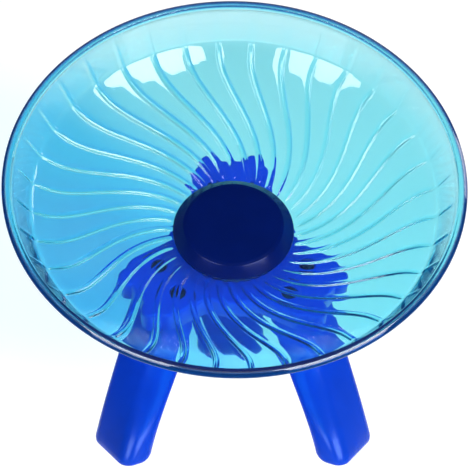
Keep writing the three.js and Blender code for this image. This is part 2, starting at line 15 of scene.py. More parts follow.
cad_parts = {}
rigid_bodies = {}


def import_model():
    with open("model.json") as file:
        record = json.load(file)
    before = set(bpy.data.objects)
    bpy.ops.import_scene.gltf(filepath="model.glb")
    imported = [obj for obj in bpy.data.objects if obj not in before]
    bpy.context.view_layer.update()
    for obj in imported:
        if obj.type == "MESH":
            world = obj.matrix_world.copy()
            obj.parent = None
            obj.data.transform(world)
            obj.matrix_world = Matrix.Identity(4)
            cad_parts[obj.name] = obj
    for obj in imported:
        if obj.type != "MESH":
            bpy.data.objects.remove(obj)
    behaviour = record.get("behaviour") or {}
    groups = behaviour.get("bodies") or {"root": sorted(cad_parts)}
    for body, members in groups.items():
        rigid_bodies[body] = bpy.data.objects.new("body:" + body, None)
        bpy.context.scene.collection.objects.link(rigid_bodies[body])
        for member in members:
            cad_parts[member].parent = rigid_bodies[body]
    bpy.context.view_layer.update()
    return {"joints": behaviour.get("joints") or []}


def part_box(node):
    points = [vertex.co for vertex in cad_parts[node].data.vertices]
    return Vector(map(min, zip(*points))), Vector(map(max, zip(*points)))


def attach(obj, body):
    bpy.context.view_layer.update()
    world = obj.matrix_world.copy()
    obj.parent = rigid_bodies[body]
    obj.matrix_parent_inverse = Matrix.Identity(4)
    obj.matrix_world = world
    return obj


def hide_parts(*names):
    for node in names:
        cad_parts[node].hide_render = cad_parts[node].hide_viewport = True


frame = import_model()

bl_info = {
    "name": "Running Saucer",
    "version": (1, 0, 0),
    "blender": (4, 5, 0),
    "location": "3D View > Sidebar > Running Saucer",
    "description": "Builds a ribbed running dish on a tilted bearing, its hub and its three-legged stand",
    "category": "Add Mesh",
}

MM = 0.001

# The dish turns round the joint, so the joint places the dish and all that is in line with it.
SPIN = next(joint for joint in frame["joints"] if joint["name"] == "dish_spin")
AXIS = Vector(SPIN["axis"])
TILT = atan2(-AXIS.y, AXIS.z)
BEARING_DEPTH = 42.0
RIM_CENTRE = Vector(SPIN["pos_m"]) + AXIS * BEARING_DEPTH * MM
RIM_HEIGHT = 112.0
RIM_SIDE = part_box("saucer_dish")[1].x / MM
DISH = Matrix.Translation(RIM_CENTRE) @ Matrix.Rotation(TILT, 4, "X") @ Matrix.Scale(MM, 4)
GROUND = Matrix.Translation(RIM_CENTRE - Vector((0, 0, RIM_HEIGHT * MM))) @ Matrix.Scale(MM, 4)
DISH_IN_GROUND = Matrix.Translation((0, 0, RIM_HEIGHT)) @ Matrix.Rotation(TILT, 4, "X")

# The gap that is left between two pieces that fit together.
SEAT_GAP = 0.3


# Settings


def length_setting(name, description, default):
    return FloatProperty(name=name, description=description, default=default, unit="LENGTH")


def power_setting(name, description, default):
    return FloatProperty(name=name, description=description, default=default, unit="POWER")


def colour_setting(name, description, default):
    return FloatVectorProperty(name=name, description=description, default=default, subtype="COLOR")


class DishSettings(bpy.types.PropertyGroup):
    radius: length_setting("Radius", "Radius of the dish over its rim", RIM_SIDE * MM)
    wall: length_setting("Wall", "Thickness of the floor and the wall", 0.0022)
    lip_width: length_setting("Lip width", "Width of the flat lip round the wall", 0.0038)
    lip_thickness: length_setting("Lip thickness", "Thickness of the lip at its edge", 0.0022)
    ribs: IntProperty(name="Ribs", description="Number of ribs from the hub to the lip", default=36, min=6, max=72)
    rib_height: length_setting("Rib height", "How far a rib stands up from the dish", 0.0007)
    rib_width: length_setting("Rib width", "Width of a rib at its foot", 0.0020)
    tint: colour_setting("Tint", "Colour that the plastic lets through", (0.43, 0.945, 0.988))
    tint_depth: FloatProperty(
        name="Tint depth", description="How strongly the plastic tints, for each metre", default=1000.0
    )
    # The edge colour is painted shade: it darkens the lip's rounded edge to its dark look when seen end on.
    edge: colour_setting("Edge", "Colour of the lip's rounded edge, where it is seen end on", (0.015, 0.13, 0.52))


class HubSettings(bpy.types.PropertyGroup):
    cap_radius: length_setting("Cap radius", "Radius of the hub cap", 0.024)
    cap_top_radius: length_setting("Cap top radius", "Radius of the cap inside its slope", 0.0195)
    cap_slope: length_setting("Cap slope height", "Height of the cap's sloped edge", 0.0036)
    cap_crown: length_setting("Cap crown", "Rise of the cap's top to its middle", 0.0014)
    # Painted shade: this navy is the stand's blue darkened, on the cap and on the bearing housing.
    colour: colour_setting("Colour", "Colour of the cap and the bearing housing", (0.001, 0.008, 0.10))


class StandSettings(bpy.types.PropertyGroup):
    thickness: length_setting("Body thickness", "Depth of the three-armed body", 0.011)
    wall: length_setting("Body wall", "Wall of the hollow body", 0.0026)
    foot_width: length_setting("Foot width", "Width of a leg at the ground", 0.0284)
    foot_thickness: length_setting("Foot thickness", "Thickness of a leg at the ground", 0.0146)
    colour: colour_setting("Colour", "Colour of the body and the legs", (0.004, 0.050, 0.540))
    rubber: colour_setting("Rubber", "Colour of the foot pads", (0.018, 0.019, 0.021))


class StageSettings(bpy.types.PropertyGroup):
    floor: colour_setting("Floor", "Colour of the floor", (0.86, 0.86, 0.86))
    key: power_setting("Right lamp", "Power of the soft lamp on the right", 8.4)
    fill: power_setting("Left lamp", "Power of the soft lamp on the left", 3.0)
    paper: power_setting("Paper lamps", "Power of each far lamp that lights the paper alone", 156.0)
    low: power_setting("Low lamp", "Power of the low lamp that lights the legs", 2.9)
    gloss: power_setting("Softboxes", "Power of the softboxes that show in gloss alone", 11.0)
    card: power_setting("Front card", "Power of the bright card low in front, which lights nothing dull", 0.45)
    distance: length_setting("Camera distance", "From the camera to the middle of the rim", 1.0)


def settings(name):
    return getattr(bpy.context.scene, name)


# Outlines

NEARLY_STRAIGHT = radians(89)
LONGEST_REACH = 0.499


def arc_corner(before, corner, after, radius, steps):
    """Points of the arc that rounds a corner of a flat outline."""
    back, ahead = before - corner, after - corner
    half = back.angle(ahead) / 2
    if half > NEARLY_STRAIGHT:
        return [corner]
    reach = min(radius / tan(half), LONGEST_REACH * back.length, LONGEST_REACH * ahead.length)
    middle = corner + (back.normalized() + ahead.normalized()).normalized() * (reach / cos(half))
    start = corner + back.normalized() * reach - middle
    end = corner + ahead.normalized() * reach - middle
    turn = copysign(pi - 2 * half, start.x * end.y - start.y * end.x)
    return [middle + Matrix.Rotation(turn * step / steps, 2) @ start for step in range(steps + 1)]


def rounded(outline, closed=True, steps=4):
    """An outline whose points are (x, y), or (x, y, radius) where the corner is rounded."""
    points = []
    last = len(outline) - 1
    for i, (x, y, *radius) in enumerate(outline):
        corner = Vector((x, y))
        if not radius or (not closed and i in (0, last)):
            points.append(corner)
            continue
        before = Vector(outline[i - 1][:2])
        after = Vector(outline[0 if i == last else i + 1][:2])
        points += arc_corner(before, corner, after, radius[0], steps)
    return points


def rounded_rectangle(width, height, radius, steps=6):
    x, y = width / 2, height / 2
    return rounded([(x, -y, radius), (x, y, radius), (-x, y, radius), (-x, -y, radius)], steps=steps)


def band(inner, outer, bottom, top, *roundings):
    """The outline of a plain ring, from its lower inner corner round to its upper one."""
    corners = ((inner, bottom), (outer, bottom), (outer, top), (inner, top))
    return [(*corner, rounding) for corner, rounding in zip(corners, roundings)]


def inset(outline, distance):
    """Moves each point of a dense outline that runs anticlockwise inwards."""
    inner = []
    for i, point in enumerate(outline):
        along = outline[(i + 1) % len(outline)] - outline[i - 1]
        inner.append(point + Vector((-along.y, along.x)).normalized() * distance)
    return inner


def smoothstep(value, low, high):
    share = min(max((value - low) / (high - low), 0.0), 1.0)
    return share * share * (3 - 2 * share)


def bezier(points, share):
    """A point on the curve that the control points draw."""
    while len(points) > 1:
        points = [a.lerp(b, share) for a, b in zip(points, points[1:])]
    return points[0]


def polar(radius, angle, height=0.0):
    return Vector((radius * cos(angle), radius * sin(angle), height))


def circle(radius, height, segments):
    if radius < 1e-6:
        return [Vector((0, 0, height))]
    return [polar(radius, 2 * pi * i / segments, height) for i in range(segments)]


def ring_places(radius, count, first=pi / 2):
    return [polar(radius, first + 2 * pi * i / count) for i in range(count)]


# Meshes


def new_object(name, data):
    made = bpy.data.objects.new(name, data)
    bpy.context.scene.collection.objects.link(made)
    return made


def new_piece(name, vertices, faces):
    mesh = bpy.data.meshes.new(name)
    mesh.from_pydata(vertices, [], faces)
    work = bmesh.new()
    work.from_mesh(mesh)
    bmesh.ops.recalc_face_normals(work, faces=work.faces)
    work.to_mesh(mesh)
    work.free()
    return new_object(name, mesh)


def skin(name, rings, closed=False, capped=False):
    """Joins rings of points. A ring may be one point only, such as a pole."""
    vertices, tables, faces = [], [], []
    count = max(len(ring) for ring in rings)
    for ring in rings:
        first = len(vertices)
        vertices += [tuple(point) for point in ring]
        tables.append([first + i for i in range(count)] if len(ring) == count else [first] * count)
    pairs = list(zip(tables, tables[1:]))
    if closed:
        pairs.append((tables[-1], tables[0]))
    for lower, upper in pairs:
        for i in range(count):
            j = (i + 1) % count
            face = list(dict.fromkeys((lower[i], lower[j], upper[j], upper[i])))
            if len(face) > 2:
                faces.append(face)
    if capped:
        faces += [tables[0][::-1], tables[-1]]
    return new_piece(name, vertices, faces)


def turned_rings(outline, segments, steps=4, closed=False):
    """The rings of an outline of (radius, height, rounding) that turns round the axis."""
    return [circle(point.x, point.y, segments) for point in rounded(outline, closed, steps)]


def turned(name, outline, segments=96, steps=4):
    """A piece turned from a closed outline of (radius, height, rounding)."""
    return skin(name, turned_rings(outline, segments, steps, closed=True), closed=True)


def tool_rod(radius, bottom, top):
    return skin("tool", [circle(radius, bottom, 32), circle(radius, top, 32)], capped=True)


def sink_tool(radius, head_radius, bottom, seat_height, top, ease=0.35):
    """A cutter for a screw's hole: a narrow bore, a wide seat and an eased mouth."""
    mouth = head_radius + ease
    outline = [
        (0, bottom), (radius, bottom), (radius, seat_height), (head_radius, seat_height),
        (head_radius, top - ease), (mouth, top), (mouth, top + 1), (0, top + 1),
    ]
    return turned("tool", outline, 48)


def prism(name, outline, bottom, top):
    return skin(name, [[Vector((p.x, p.y, z)) for p in outline] for z in (bottom, top)], capped=True)


def eased_prism(name, outline, bottom, top, ease, steps=3, bottom_ease=None):
    """A prism whose outer edges are rounded."""
    low = ease if bottom_ease is None else bottom_ease
    rings = []
    for end, rise, order in ((bottom, low, range(steps + 1)), (top, -ease, range(steps, -1, -1))):
        for step in order:
            angle = pi / 2 * step / steps
            height = end + rise * (1 - cos(angle))
            shrunk = inset(outline, abs(rise) * (1 - sin(angle)))
            rings.append([Vector((p.x, p.y, height)) for p in shrunk])
    return skin(name, rings, capped=True)


def shape(piece, tools, operation="DIFFERENCE"):
    """Cuts tools out of a piece, or joins them to it, and removes the tools."""
    for tool in tools:
        modifier = piece.modifiers.new("shape", "BOOLEAN")
        modifier.operation = operation
        modifier.solver = "EXACT"
        modifier.object = tool
    bpy.context.view_layer.update()
    graph = bpy.context.evaluated_depsgraph_get()
    made = bpy.data.meshes.new_from_object(piece.evaluated_get(graph))
    piece.modifiers.clear()
    plain = piece.data
    piece.data = made
    bpy.data.meshes.remove(plain)
    for tool in tools:
        mesh = tool.data
        bpy.data.objects.remove(tool)
        bpy.data.meshes.remove(mesh)
    return piece


def moved(piece, matrix):
    piece.data.transform(matrix)
    return piece


def placed(piece, place, turn=0.0):
    """Turns a piece round the upright and takes it to a place."""
    return moved(piece, Matrix.Translation(place) @ Matrix.Rotation(turn, 4, "Z"))


def seat(piece, place, body, look, *nodes, smooth=32):
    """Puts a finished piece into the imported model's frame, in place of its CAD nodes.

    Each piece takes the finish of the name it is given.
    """
    if len(piece.data.polygons) < 8:
        raise RuntimeError(f"{piece.name} lost its mesh")
    moved(piece, place)
    piece.data.materials.clear()
    piece.data.materials.append(finish(look))
    piece.data.shade_smooth()
    piece.data.set_sharp_from_angle(angle=radians(smooth))
    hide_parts(*nodes)
    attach(piece, body)


# Finishes

WHITE = (1, 1, 1, 1)
PLASTIC_IOR = 1.5

# Noise mostly lies between these two values.
NOISE_SPAN = (0.3, 0.7)


def feed(node, inputs):
    """Gives each named input of a node a value, or the output of another node."""
    for name, value in inputs.items():
        if isinstance(value, bpy.types.NodeSocket):
            node.id_data.links.new(value, node.inputs[name])
        else:
            node.inputs[name].default_value = value
    return node


def new_node(tree, kind, inputs, **options):
    """A new node of a shader tree, with its options set and its inputs fed."""
    node = tree.nodes.new(kind)
    for option, value in options.items():
        setattr(node, option, value)
    return feed(node, inputs)


def map_range(tree, value, low, high, bottom=0.0, top=1.0, **options):
    inputs = {"Value": value, "From Min": low, "From Max": high, "To Min": bottom, "To Max": top}
    return new_node(tree, "ShaderNodeMapRange", inputs, **options).outputs["Result"]


def maths(tree, operation, first, second, **options):
    return new_node(tree, "ShaderNodeMath", {0: first, 1: second}, operation=operation, **options).outputs[0]


def vector_maths(tree, operation, output, *inputs):
    return new_node(tree, "ShaderNodeVectorMath", dict(enumerate(inputs)), operation=operation).outputs[output]


def mixed_colour(tree, share, none, full):
    inputs = {"Factor": share, "A": none, "B": full}
    return new_node(tree, "ShaderNodeMix", inputs, data_type="RGBA").outputs["Result"]


def mixed_shader(tree, share, none, full):
    return new_node(tree, "ShaderNodeMixShader", {"Fac": share, 1: none, 2: full}).outputs["Shader"]


def ray_kinds(tree):
    return new_node(tree, "ShaderNodeLightPath", {}).outputs


def object_place(tree):
    return new_node(tree, "ShaderNodeTexCoord", {}).outputs["Object"]


def object_noise(tree, scale, detail):
    """Noise fixed to the piece, so many cells to a metre."""
    inputs = {"Vector": object_place(tree), "Scale": scale, "Detail": detail}
    return new_node(tree, "ShaderNodeTexNoise", inputs).outputs["Fac"]


def two_tones(tree, noise, dark, light):
    ramp = new_node(tree, "ShaderNodeValToRGB", {"Fac": noise})
    for element, position, colour in zip(ramp.color_ramp.elements, NOISE_SPAN, (dark, light)):
        element.position = position
        element.color = (*colour, 1)
    return ramp.outputs["Color"]


def scaled(colour, factor):
    return tuple(min(channel * factor, 1.0) for channel in colour)


def new_finish(name):
    """A new material, its tree, its shader and its output."""
    material = bpy.data.materials.new(name)
    material.use_nodes = True
    tree = material.node_tree
    return material, tree, tree.nodes["Principled BSDF"], tree.nodes["Material Output"]


def roughen(tree, shader, noise, low, high, relief, distance, strength):
    """Spreads the roughness by one noise and bumps the surface by another."""
    bump = new_node(tree, "ShaderNodeBump", {"Height": relief, "Distance": distance, "Strength": strength})
    feed(shader, {"Roughness": map_range(tree, noise, *NOISE_SPAN, low, high), "Normal": bump.outputs["Normal"]})


def moulded_plastic(name, colour, roughness, gloss, sheen):
    """Glossy opaque plastic, with a little mottle and a gloss that varies."""
    material, tree, shader, _ = new_finish(name)
    mottle, fine = object_noise(tree, scale=60, detail=4), object_noise(tree, scale=900, detail=2)
    roughen(tree, shader, fine, roughness * 0.8, roughness * 1.25, mottle, distance=0.00006, strength=0.35)
    feed(shader, {
        "Base Color": two_tones(tree, mottle, scaled(colour, 0.92), scaled(colour, 1.08)),
        "IOR": PLASTIC_IOR,
        "Specular IOR Level": gloss,
        "Specular Tint": (*sheen, 1),
    })
    return material


def metal(name, dark, light, roughness, scale):
    """Bare or plated metal with fine marks."""
    material, tree, shader, _ = new_finish(name)
    marks = object_noise(tree, scale, detail=4)
    roughen(tree, shader, marks, roughness * 0.7, roughness * 1.3, marks, distance=0.00001, strength=0.3)
    feed(shader, {"Base Color": two_tones(tree, marks, dark, light), "Metallic": 1.0})
    return material


def rubber(name, colour):
    material, tree, shader, _ = new_finish(name)
    grain = object_noise(tree, scale=1800, detail=3)
    roughen(tree, shader, grain, 0.72, 0.9, grain, distance=0.00003, strength=0.6)
    feed(shader, {"Base Color": two_tones(tree, grain, scaled(colour, 0.8), scaled(colour, 1.3))})
    return material


def rim_share(tree, inside, outside):
    """0 over the dish and 1 on the edge of its lip, from the distance to the axis the dish turns round.

    The change lies between two distances in from the rim, in millimetres.
    """
    offset = vector_maths(tree, "SUBTRACT", "Vector", object_place(tree), RIM_CENTRE)
    across = vector_maths(tree, "CROSS_PRODUCT", "Vector", offset, AXIS)
    reach = vector_maths(tree, "LENGTH", "Value", across)
    low, high = (RIM_SIDE - inside) * MM, (RIM_SIDE - outside) * MM
    return map_range(tree, reach, low, high, interpolation_type="SMOOTHSTEP")


# Painted shade on the lip's edge: there the plastic is given a deeper blue, less clearness and navy reflections, for
# the dark look of the edge seen end on.
LIP_SHADE_SPAN, EDGE_SHADE_SPAN, SHEEN_SHADE_SPAN = (2.3, 0.7), (2.0, 0.7), (1.0, 0.5)
EDGE_SHADE_DEPTH = 0.35
EDGE_SHADED_SHEEN = (0.02, 0.12, 0.5, 1)
CLEAR_SHARE, EDGE_CLEAR_SHARE = 0.99, 0.45
# Painted glow: the dish plastic gives out a little blue light of its own, though it is no lamp.
PAINTED_GLOW_BLUE = (0.0, 0.12, 1.0, 1)
PAINTED_GLOW_STRENGTH = 0.018
SHADOW_TINT = (0.42, 0.83, 0.995, 1)


def tinted_plastic(name, tint, depth, edge):
    """See-through plastic that tints light by its thickness, and lets tinted light through to what is under it.

    A trace of painted blue glow stands in for the light that scatters inside it, so that its dark parts stay blue.
    """
    material, tree, shader, output = new_finish(name)
    ripple, fine = object_noise(tree, scale=45, detail=2), object_noise(tree, scale=700, detail=2)
    # Painted shade: the mask that darkens the lip's edge, its colour, its clearness and its reflections.
    edge_shade_mask = rim_share(tree, *EDGE_SHADE_SPAN)
    lip = mixed_colour(tree, rim_share(tree, *LIP_SHADE_SPAN), WHITE, (*edge, 1))
    roughen(tree, shader, fine, 0.015, 0.05, ripple, distance=0.00008, strength=0.25)
    feed(shader, {
        "Base Color": mixed_colour(tree, edge_shade_mask, lip, (*scaled(edge, EDGE_SHADE_DEPTH), 1)),
        "Specular Tint": mixed_colour(tree, rim_share(tree, *SHEEN_SHADE_SPAN), WHITE, EDGE_SHADED_SHEEN),
        "Transmission Weight": map_range(tree, edge_shade_mask, 0, 1, CLEAR_SHARE, EDGE_CLEAR_SHARE),
        "IOR": PLASTIC_IOR,
        "Emission Color": PAINTED_GLOW_BLUE,
        "Emission Strength": PAINTED_GLOW_STRENGTH,
    })
    clear = new_node(tree, "ShaderNodeBsdfTransparent", {"Color": SHADOW_TINT})
    soak = new_node(tree, "ShaderNodeVolumeAbsorption", {"Color": (*tint, 1), "Density": depth})
    surface = mixed_shader(tree, ray_kinds(tree)["Is Shadow Ray"], shader.outputs["BSDF"], clear.outputs["BSDF"])
    feed(output, {"Surface": surface, "Volume": soak.outputs["Volume"]})
    return material


FINISHES = {}


def finish(name):
    """The finish that pieces share, made the first time it is asked for."""
    if name not in FINISHES:
        dish, hub, stand = settings("saucer_dish"), settings("saucer_hub"), settings("saucer_stand")
        maker, *about = {
            "dish_plastic": (tinted_plastic, "dish_plastic_clear_blue", dish.tint, dish.tint_depth, dish.edge),
            # The hub's navy is the stand's blue darkened with painted shade.
            "hub_plastic": (moulded_plastic, "hub_plastic_navy", hub.colour, 0.16, 0.2, (0.55, 0.62, 1.0)),
            "stand_plastic": (
                moulded_plastic, "stand_plastic_royal_blue", stand.colour, 0.2, 0.3, (0.30, 0.50, 1.0)
            ),
            "foot_rubber": (rubber, "foot_rubber_black", stand.rubber),
            "race_steel": (metal, "race_steel_ground", (0.52, 0.53, 0.55), (0.66, 0.67, 0.69), 0.14, 900),
            "ball_steel": (metal, "ball_steel_polished", (0.62, 0.63, 0.65), (0.72, 0.73, 0.75), 0.06, 600),
            "shield_steel": (metal, "shield_steel_pressed", (0.45, 0.46, 0.48), (0.60, 0.61, 0.63), 0.26, 500),
            "zinc_steel": (metal, "zinc_plated_steel", (0.50, 0.52, 0.56), (0.72, 0.74, 0.78), 0.24, 350),
            "black_steel": (metal, "screw_steel_black", (0.020, 0.022, 0.030), (0.045, 0.048, 0.060), 0.3, 350),
            "cage_brass": (metal, "cage_brass", (0.60, 0.38, 0.13), (0.78, 0.55, 0.24), 0.24, 500),
        }[name]
        FINISHES[name] = maker(*about)
    return FINISHES[name]


# The dish

HOLE_RADIUS = 9.0
PAD_RADIUS = 25.0
PAD_TOP = -36.0
PAD_RINGS = (HOLE_RADIUS, 9.5, 12, 15, 18, 21, 23.5)
CREASE_RADIUS = 79.0
CREASE_HEIGHT = -13.9
CREASE_ROUND = 4.5
WALL_TOP_HEIGHT = -2.0
WALL_THINNING = 0.9
LIP_DRAFT = 0.6
FLOOR_START_SLOPE = 0.22
FLOOR_STEPS = 44
WALL_STEPS = 9
RIB_WALL_DROP = 0.72
RIB_PHASE = radians(4.1)
SWIRL = radians(30)
SWIRL_RADII = (14.0, 75.0)
RIB_HALF_SHARES = (0.1, 0.45, 0.75, 0.95, 1.15, 1.35, 1.5)
RIB_HALF_RISES = (0.99, 0.87, 0.74, 0.45, 0.15, 0.03, 0.0)
RIB_SHARES = (*(-share for share in reversed(RIB_HALF_SHARES)), 0.0, *RIB_HALF_SHARES)
RIB_RISES = (*reversed(RIB_HALF_RISES), 1.0, *RIB_HALF_RISES)
BAY_SHARES = (0.25, 0.5, 0.75)
HUB_SCREW_RADIUS = 1.4
HUB_SCREW_HEAD = (2.6, 1.6)
HUB_SCREW_LENGTH = 8.0
HUB_SCREW_PLACES = ring_places(17.0, 3)


def hub_screw_holes(piece, bottom, top):
    """Drills the holes for the hub's three screws."""
    shape(piece, [placed(tool_rod(HUB_SCREW_RADIUS + SEAT_GAP, bottom, top), place) for place in HUB_SCREW_PLACES])


def swirl(radius):
    return -SWIRL * (1 - smoothstep(max(radius, PAD_RADIUS), *SWIRL_RADII))


def dish_inside(dish):
    """The inside of the dish from the hole to the wall's top, as points of radius and height."""
    half = (CREASE_RADIUS - PAD_RADIUS) / 2
    controls = [
        Vector((PAD_RADIUS, PAD_TOP)),
        Vector((PAD_RADIUS + half, PAD_TOP + FLOOR_START_SLOPE * half)),
        Vector((CREASE_RADIUS, CREASE_HEIGHT)),
    ]
    pad = [Vector((radius, PAD_TOP)) for radius in PAD_RINGS]
    floor = [bezier(controls, step / FLOOR_STEPS) for step in range(FLOOR_STEPS + 1)]
    top = Vector((RIM_SIDE - dish.lip_width / MM, WALL_TOP_HEIGHT))
    slope = (floor[-1] - floor[-2]).normalized()
    crease = arc_corner(floor[-1] - slope * 20, floor[-1], top, CREASE_ROUND, 8)
    kept = [point for point in floor if point.x < crease[0].x - 0.4]
    wall = [crease[-1].lerp(top, step / WALL_STEPS) for step in range(1, WALL_STEPS + 1)]
    return pad + kept + crease + wall


def normals_of(path):
    """Unit normals of a path that runs outwards, on its upper side."""
    found = []
    for i in range(len(path)):
        along = (path[min(i + 1, len(path) - 1)] - path[max(i - 1, 0)]).normalized()
        found.append(Vector((-along.y, along.x)))
    return found


def rib_fade(radius, wall_top):
    """The height of a rib as a share: full on the floor, low on the wall, and nothing at either end."""
    start = smoothstep(radius, PAD_RADIUS - 1.0, PAD_RADIUS + 2.0)
    climb = 1 - RIB_WALL_DROP * smoothstep(radius, CREASE_RADIUS - 5, CREASE_RADIUS + 1)
    return start * climb * (1 - smoothstep(radius, wall_top - 3.0, wall_top - 0.6))


def dish_ring(dish, point, normal=Vector((0, 0)), rise=0.0):
    """One ring round the dish, its points closer together across each rib."""
    pitch = 2 * pi / dish.ribs
    radius = max(point.x, PAD_RADIUS)
    slant = atan(radius * (swirl(radius + 0.5) - swirl(radius - 0.5)))
    half = min(dish.rib_width / MM / 2 / (radius * cos(slant)), pitch * 0.32)
    foot = RIB_SHARES[-1] * half
    shares = [(share * half, high) for share, high in zip(RIB_SHARES, RIB_RISES)]
    shares += [(foot + share * (pitch - 2 * foot), 0.0) for share in BAY_SHARES]
    turn = RIB_PHASE + swirl(radius)
    ring = []
    for rib in range(dish.ribs):
        for offset, high in shares:
            place = point + normal * (rise * high)
            ring.append(polar(place.x, turn + rib * pitch + offset, place.y))
    return ring


class SAUCER_OT_dish(bpy.types.Operator):
    """Build the see-through dish with its swirling ribs"""

    bl_idname = "running_saucer.dish"
    bl_label = "Ribbed dish"

    def execute(self, context):
        dish = settings("saucer_dish")
        wall, rib = dish.wall / MM, dish.rib_height / MM
        lip, radius = dish.lip_thickness / MM, dish.radius / MM
        wall_top = radius - dish.lip_width / MM
        root = -lip - LIP_DRAFT
        inside = dish_inside(dish)
        normals = normals_of(inside)
        rings = [
            dish_ring(dish, point, normal, rib * rib_fade(point.x, wall_top))
            for point, normal in zip(inside, normals)
        ]
        lip_outline = [
            (wall_top, WALL_TOP_HEIGHT), (wall_top + 0.5, 0, 0.5), (radius - 1.6, 0, 2.2), (radius, -1.0, 0.7),
            (radius, -lip, 1.25), (wall_top + 0.9, root, 1.0), (wall_top - 0.3, root - 2.0),
        ]
        rings += [dish_ring(dish, point) for point in rounded(lip_outline, closed=False, steps=5)[1:-1]]
        under = [
            point - normal * (wall - WALL_THINNING * smoothstep(point.x, CREASE_RADIUS - 4, wall_top))
            for point, normal in zip(inside, normals)
        ]
        under = [point for point in under if point.y < root - 1.0 or point.x < CREASE_RADIUS]
        for i, point in enumerate(reversed(under)):
            if i % 2 == 0 or point.x > CREASE_RADIUS - 3 or point.x < PAD_RADIUS + 3:
                rings.append(dish_ring(dish, point))
        piece = skin("dish_shell", rings, closed=True)
        hub_screw_holes(piece, PAD_TOP - 6, PAD_TOP + 2)
        seat(piece, DISH, "saucer", "dish_plastic", "saucer_dish", smooth=50)
        return {"FINISHED"}


# The hub

BEARING_TOP = -38.5
BEARING_WIDTH = 7
BEARING_OUTER_RADIUS = 11.0
BEARING_BOTTOM = BEARING_TOP - BEARING_WIDTH
CAP_WALL = 1.7
CAP_EDGE = 1.2
SKIRT_WALL = 0.9
SKIRT_BOTTOM = PAD_TOP - 2.2
HOUSING_WALL = 2.7
HOUSING_FLANGE = (22.0, 2.5)
HOUSING_LIP = 1.2
HOUSING_BOTTOM = BEARING_BOTTOM - SEAT_GAP - HOUSING_LIP
BOSS_RADIUS = 3.2
BOSS_DEPTH = 5.5


class SAUCER_OT_hub(bpy.types.Operator):
    """Build the cap in the middle of the dish and the bearing housing under it"""

    bl_idname = "running_saucer.hub"
    bl_label = "Hub cap and housing"

    def execute(self, context):
        self.cap(settings("saucer_hub"))
        self.housing()
        return {"FINISHED"}

    def cap(self, hub):
        low = PAD_TOP + SEAT_GAP
        edge = low + CAP_EDGE
        shoulder = edge + hub.cap_slope / MM
        crown = shoulder + hub.cap_crown / MM
        radius, top = hub.cap_radius / MM, hub.cap_top_radius / MM
        ceiling, skirt = crown - CAP_WALL, HOLE_RADIUS - SEAT_GAP
        outline = [
            (0, ceiling), (skirt - SKIRT_WALL, ceiling - 0.15, 0.5), (skirt - SKIRT_WALL, SKIRT_BOTTOM, 0.25),
            (skirt, SKIRT_BOTTOM, 0.25), (skirt, ceiling - 0.25, 0.4), (top - CAP_WALL / 2, shoulder - CAP_WALL, 0.5),
            (radius - CAP_WALL, edge - CAP_WALL / 2, 0.2), (radius - CAP_WALL, low, 0.2), (radius, low, 0.3),
            (radius, edge, 0.5), (top + 0.4, shoulder - 0.35, 0.8), (top - 0.9, shoulder + 0.1, 0.6),
        ]
        for step in range(1, 8):
            share = step / 8
            outline.append(((top - 0.9) * (1 - share), crown - (crown - shoulder - 0.1) * (1 - share) ** 2))
        outline.append((0, crown))
        piece = turned("hub_cap_shell", outline, 144, 5)
        seat(piece, DISH, "saucer", "hub_plastic", "hub_cap", smooth=40)

    def housing(self):
        bore = BEARING_OUTER_RADIUS + SEAT_GAP
        outer, lip = bore + HOUSING_WALL, bore - HOUSING_LIP
        flange_radius, flange = HOUSING_FLANGE
        flange_low, ledge = BEARING_TOP - flange, HOUSING_BOTTOM + HOUSING_LIP
        outline = [
            (lip, HOUSING_BOTTOM, 0.25), (outer, HOUSING_BOTTOM, 0.7), (outer, flange_low, 0.8),
            (flange_radius, flange_low, 0.5), (flange_radius, BEARING_TOP, 0.3), (bore, BEARING_TOP, 0.3),
            (bore, ledge, 0.15), (lip, ledge, 0.25),
        ]
        piece = turned("housing_cup", outline)
        low, high = BEARING_TOP - BOSS_DEPTH, BEARING_TOP - SEAT_GAP
        boss = [(0, low), (BOSS_RADIUS, low, 0.6), (BOSS_RADIUS, high), (0, high)]
        shape(piece, [placed(turned("boss", boss, 40), place) for place in HUB_SCREW_PLACES], "UNION")
        hub_screw_holes(piece, PAD_TOP - HUB_SCREW_LENGTH - SEAT_GAP, PAD_TOP)
        seat(piece, DISH, "saucer", "hub_plastic", "hub_housing", smooth=40)


# Screws

LEG_SCREW_RADIUS = 1.5
LEG_SCREW_HEAD = (2.9, 1.8)
LEG_SCREW_LENGTH = 9.0
SCREW_TIP = 1.6
SCREW_SEGMENTS = 20
THREAD_STEPS = 6

# The depth and the pitch of the thread.
SCREW_THREAD = (0.28, 1.05)


def cross_tool(radius, depth, top):
    """The cross recess of a screw's head: two tapered slots."""
    tools = []
    bottom_slot = (top - depth, radius * 0.42, radius * 0.10)
    top_slot = (top + 0.5, radius * 0.66, radius * 0.17)
    for angle in (0.0, pi / 2):
        rings = []
        for height, reach, half in (bottom_slot, top_slot):
            corners = [(reach, -half), (reach, half), (-reach, half), (-reach, -half)]
            rings.append([Matrix.Rotation(angle, 3, "Z") @ Vector((x, y, height)) for x, y in corners])
        tools.append(skin("tool", rings, capped=True))
    return tools


def threaded(radius, depth, pitch, bottom, top, segments, tip=0.0):
    """Rings of a screw thread, cut into a rod, with a tapered tip."""
    rings = []
    count = max(int((top - bottom) / pitch * THREAD_STEPS), 2)
    for step in range(count + 1):
        height = bottom + (top - bottom) * step / count
        taper = min((height - bottom) / tip, 1.0) if tip else 1.0
        fade = smoothstep(top - height, 0.0, pitch)
        ring = []
        for i in range(segments):
            wave = abs(((height / pitch - i / segments) % 1.0) * 2 - 1)
            reach = (radius - depth * fade * wave) * (0.35 + 0.65 * taper)
            ring.append(polar(reach, 2 * pi * i / segments, height))
        rings.append(ring)
    return rings


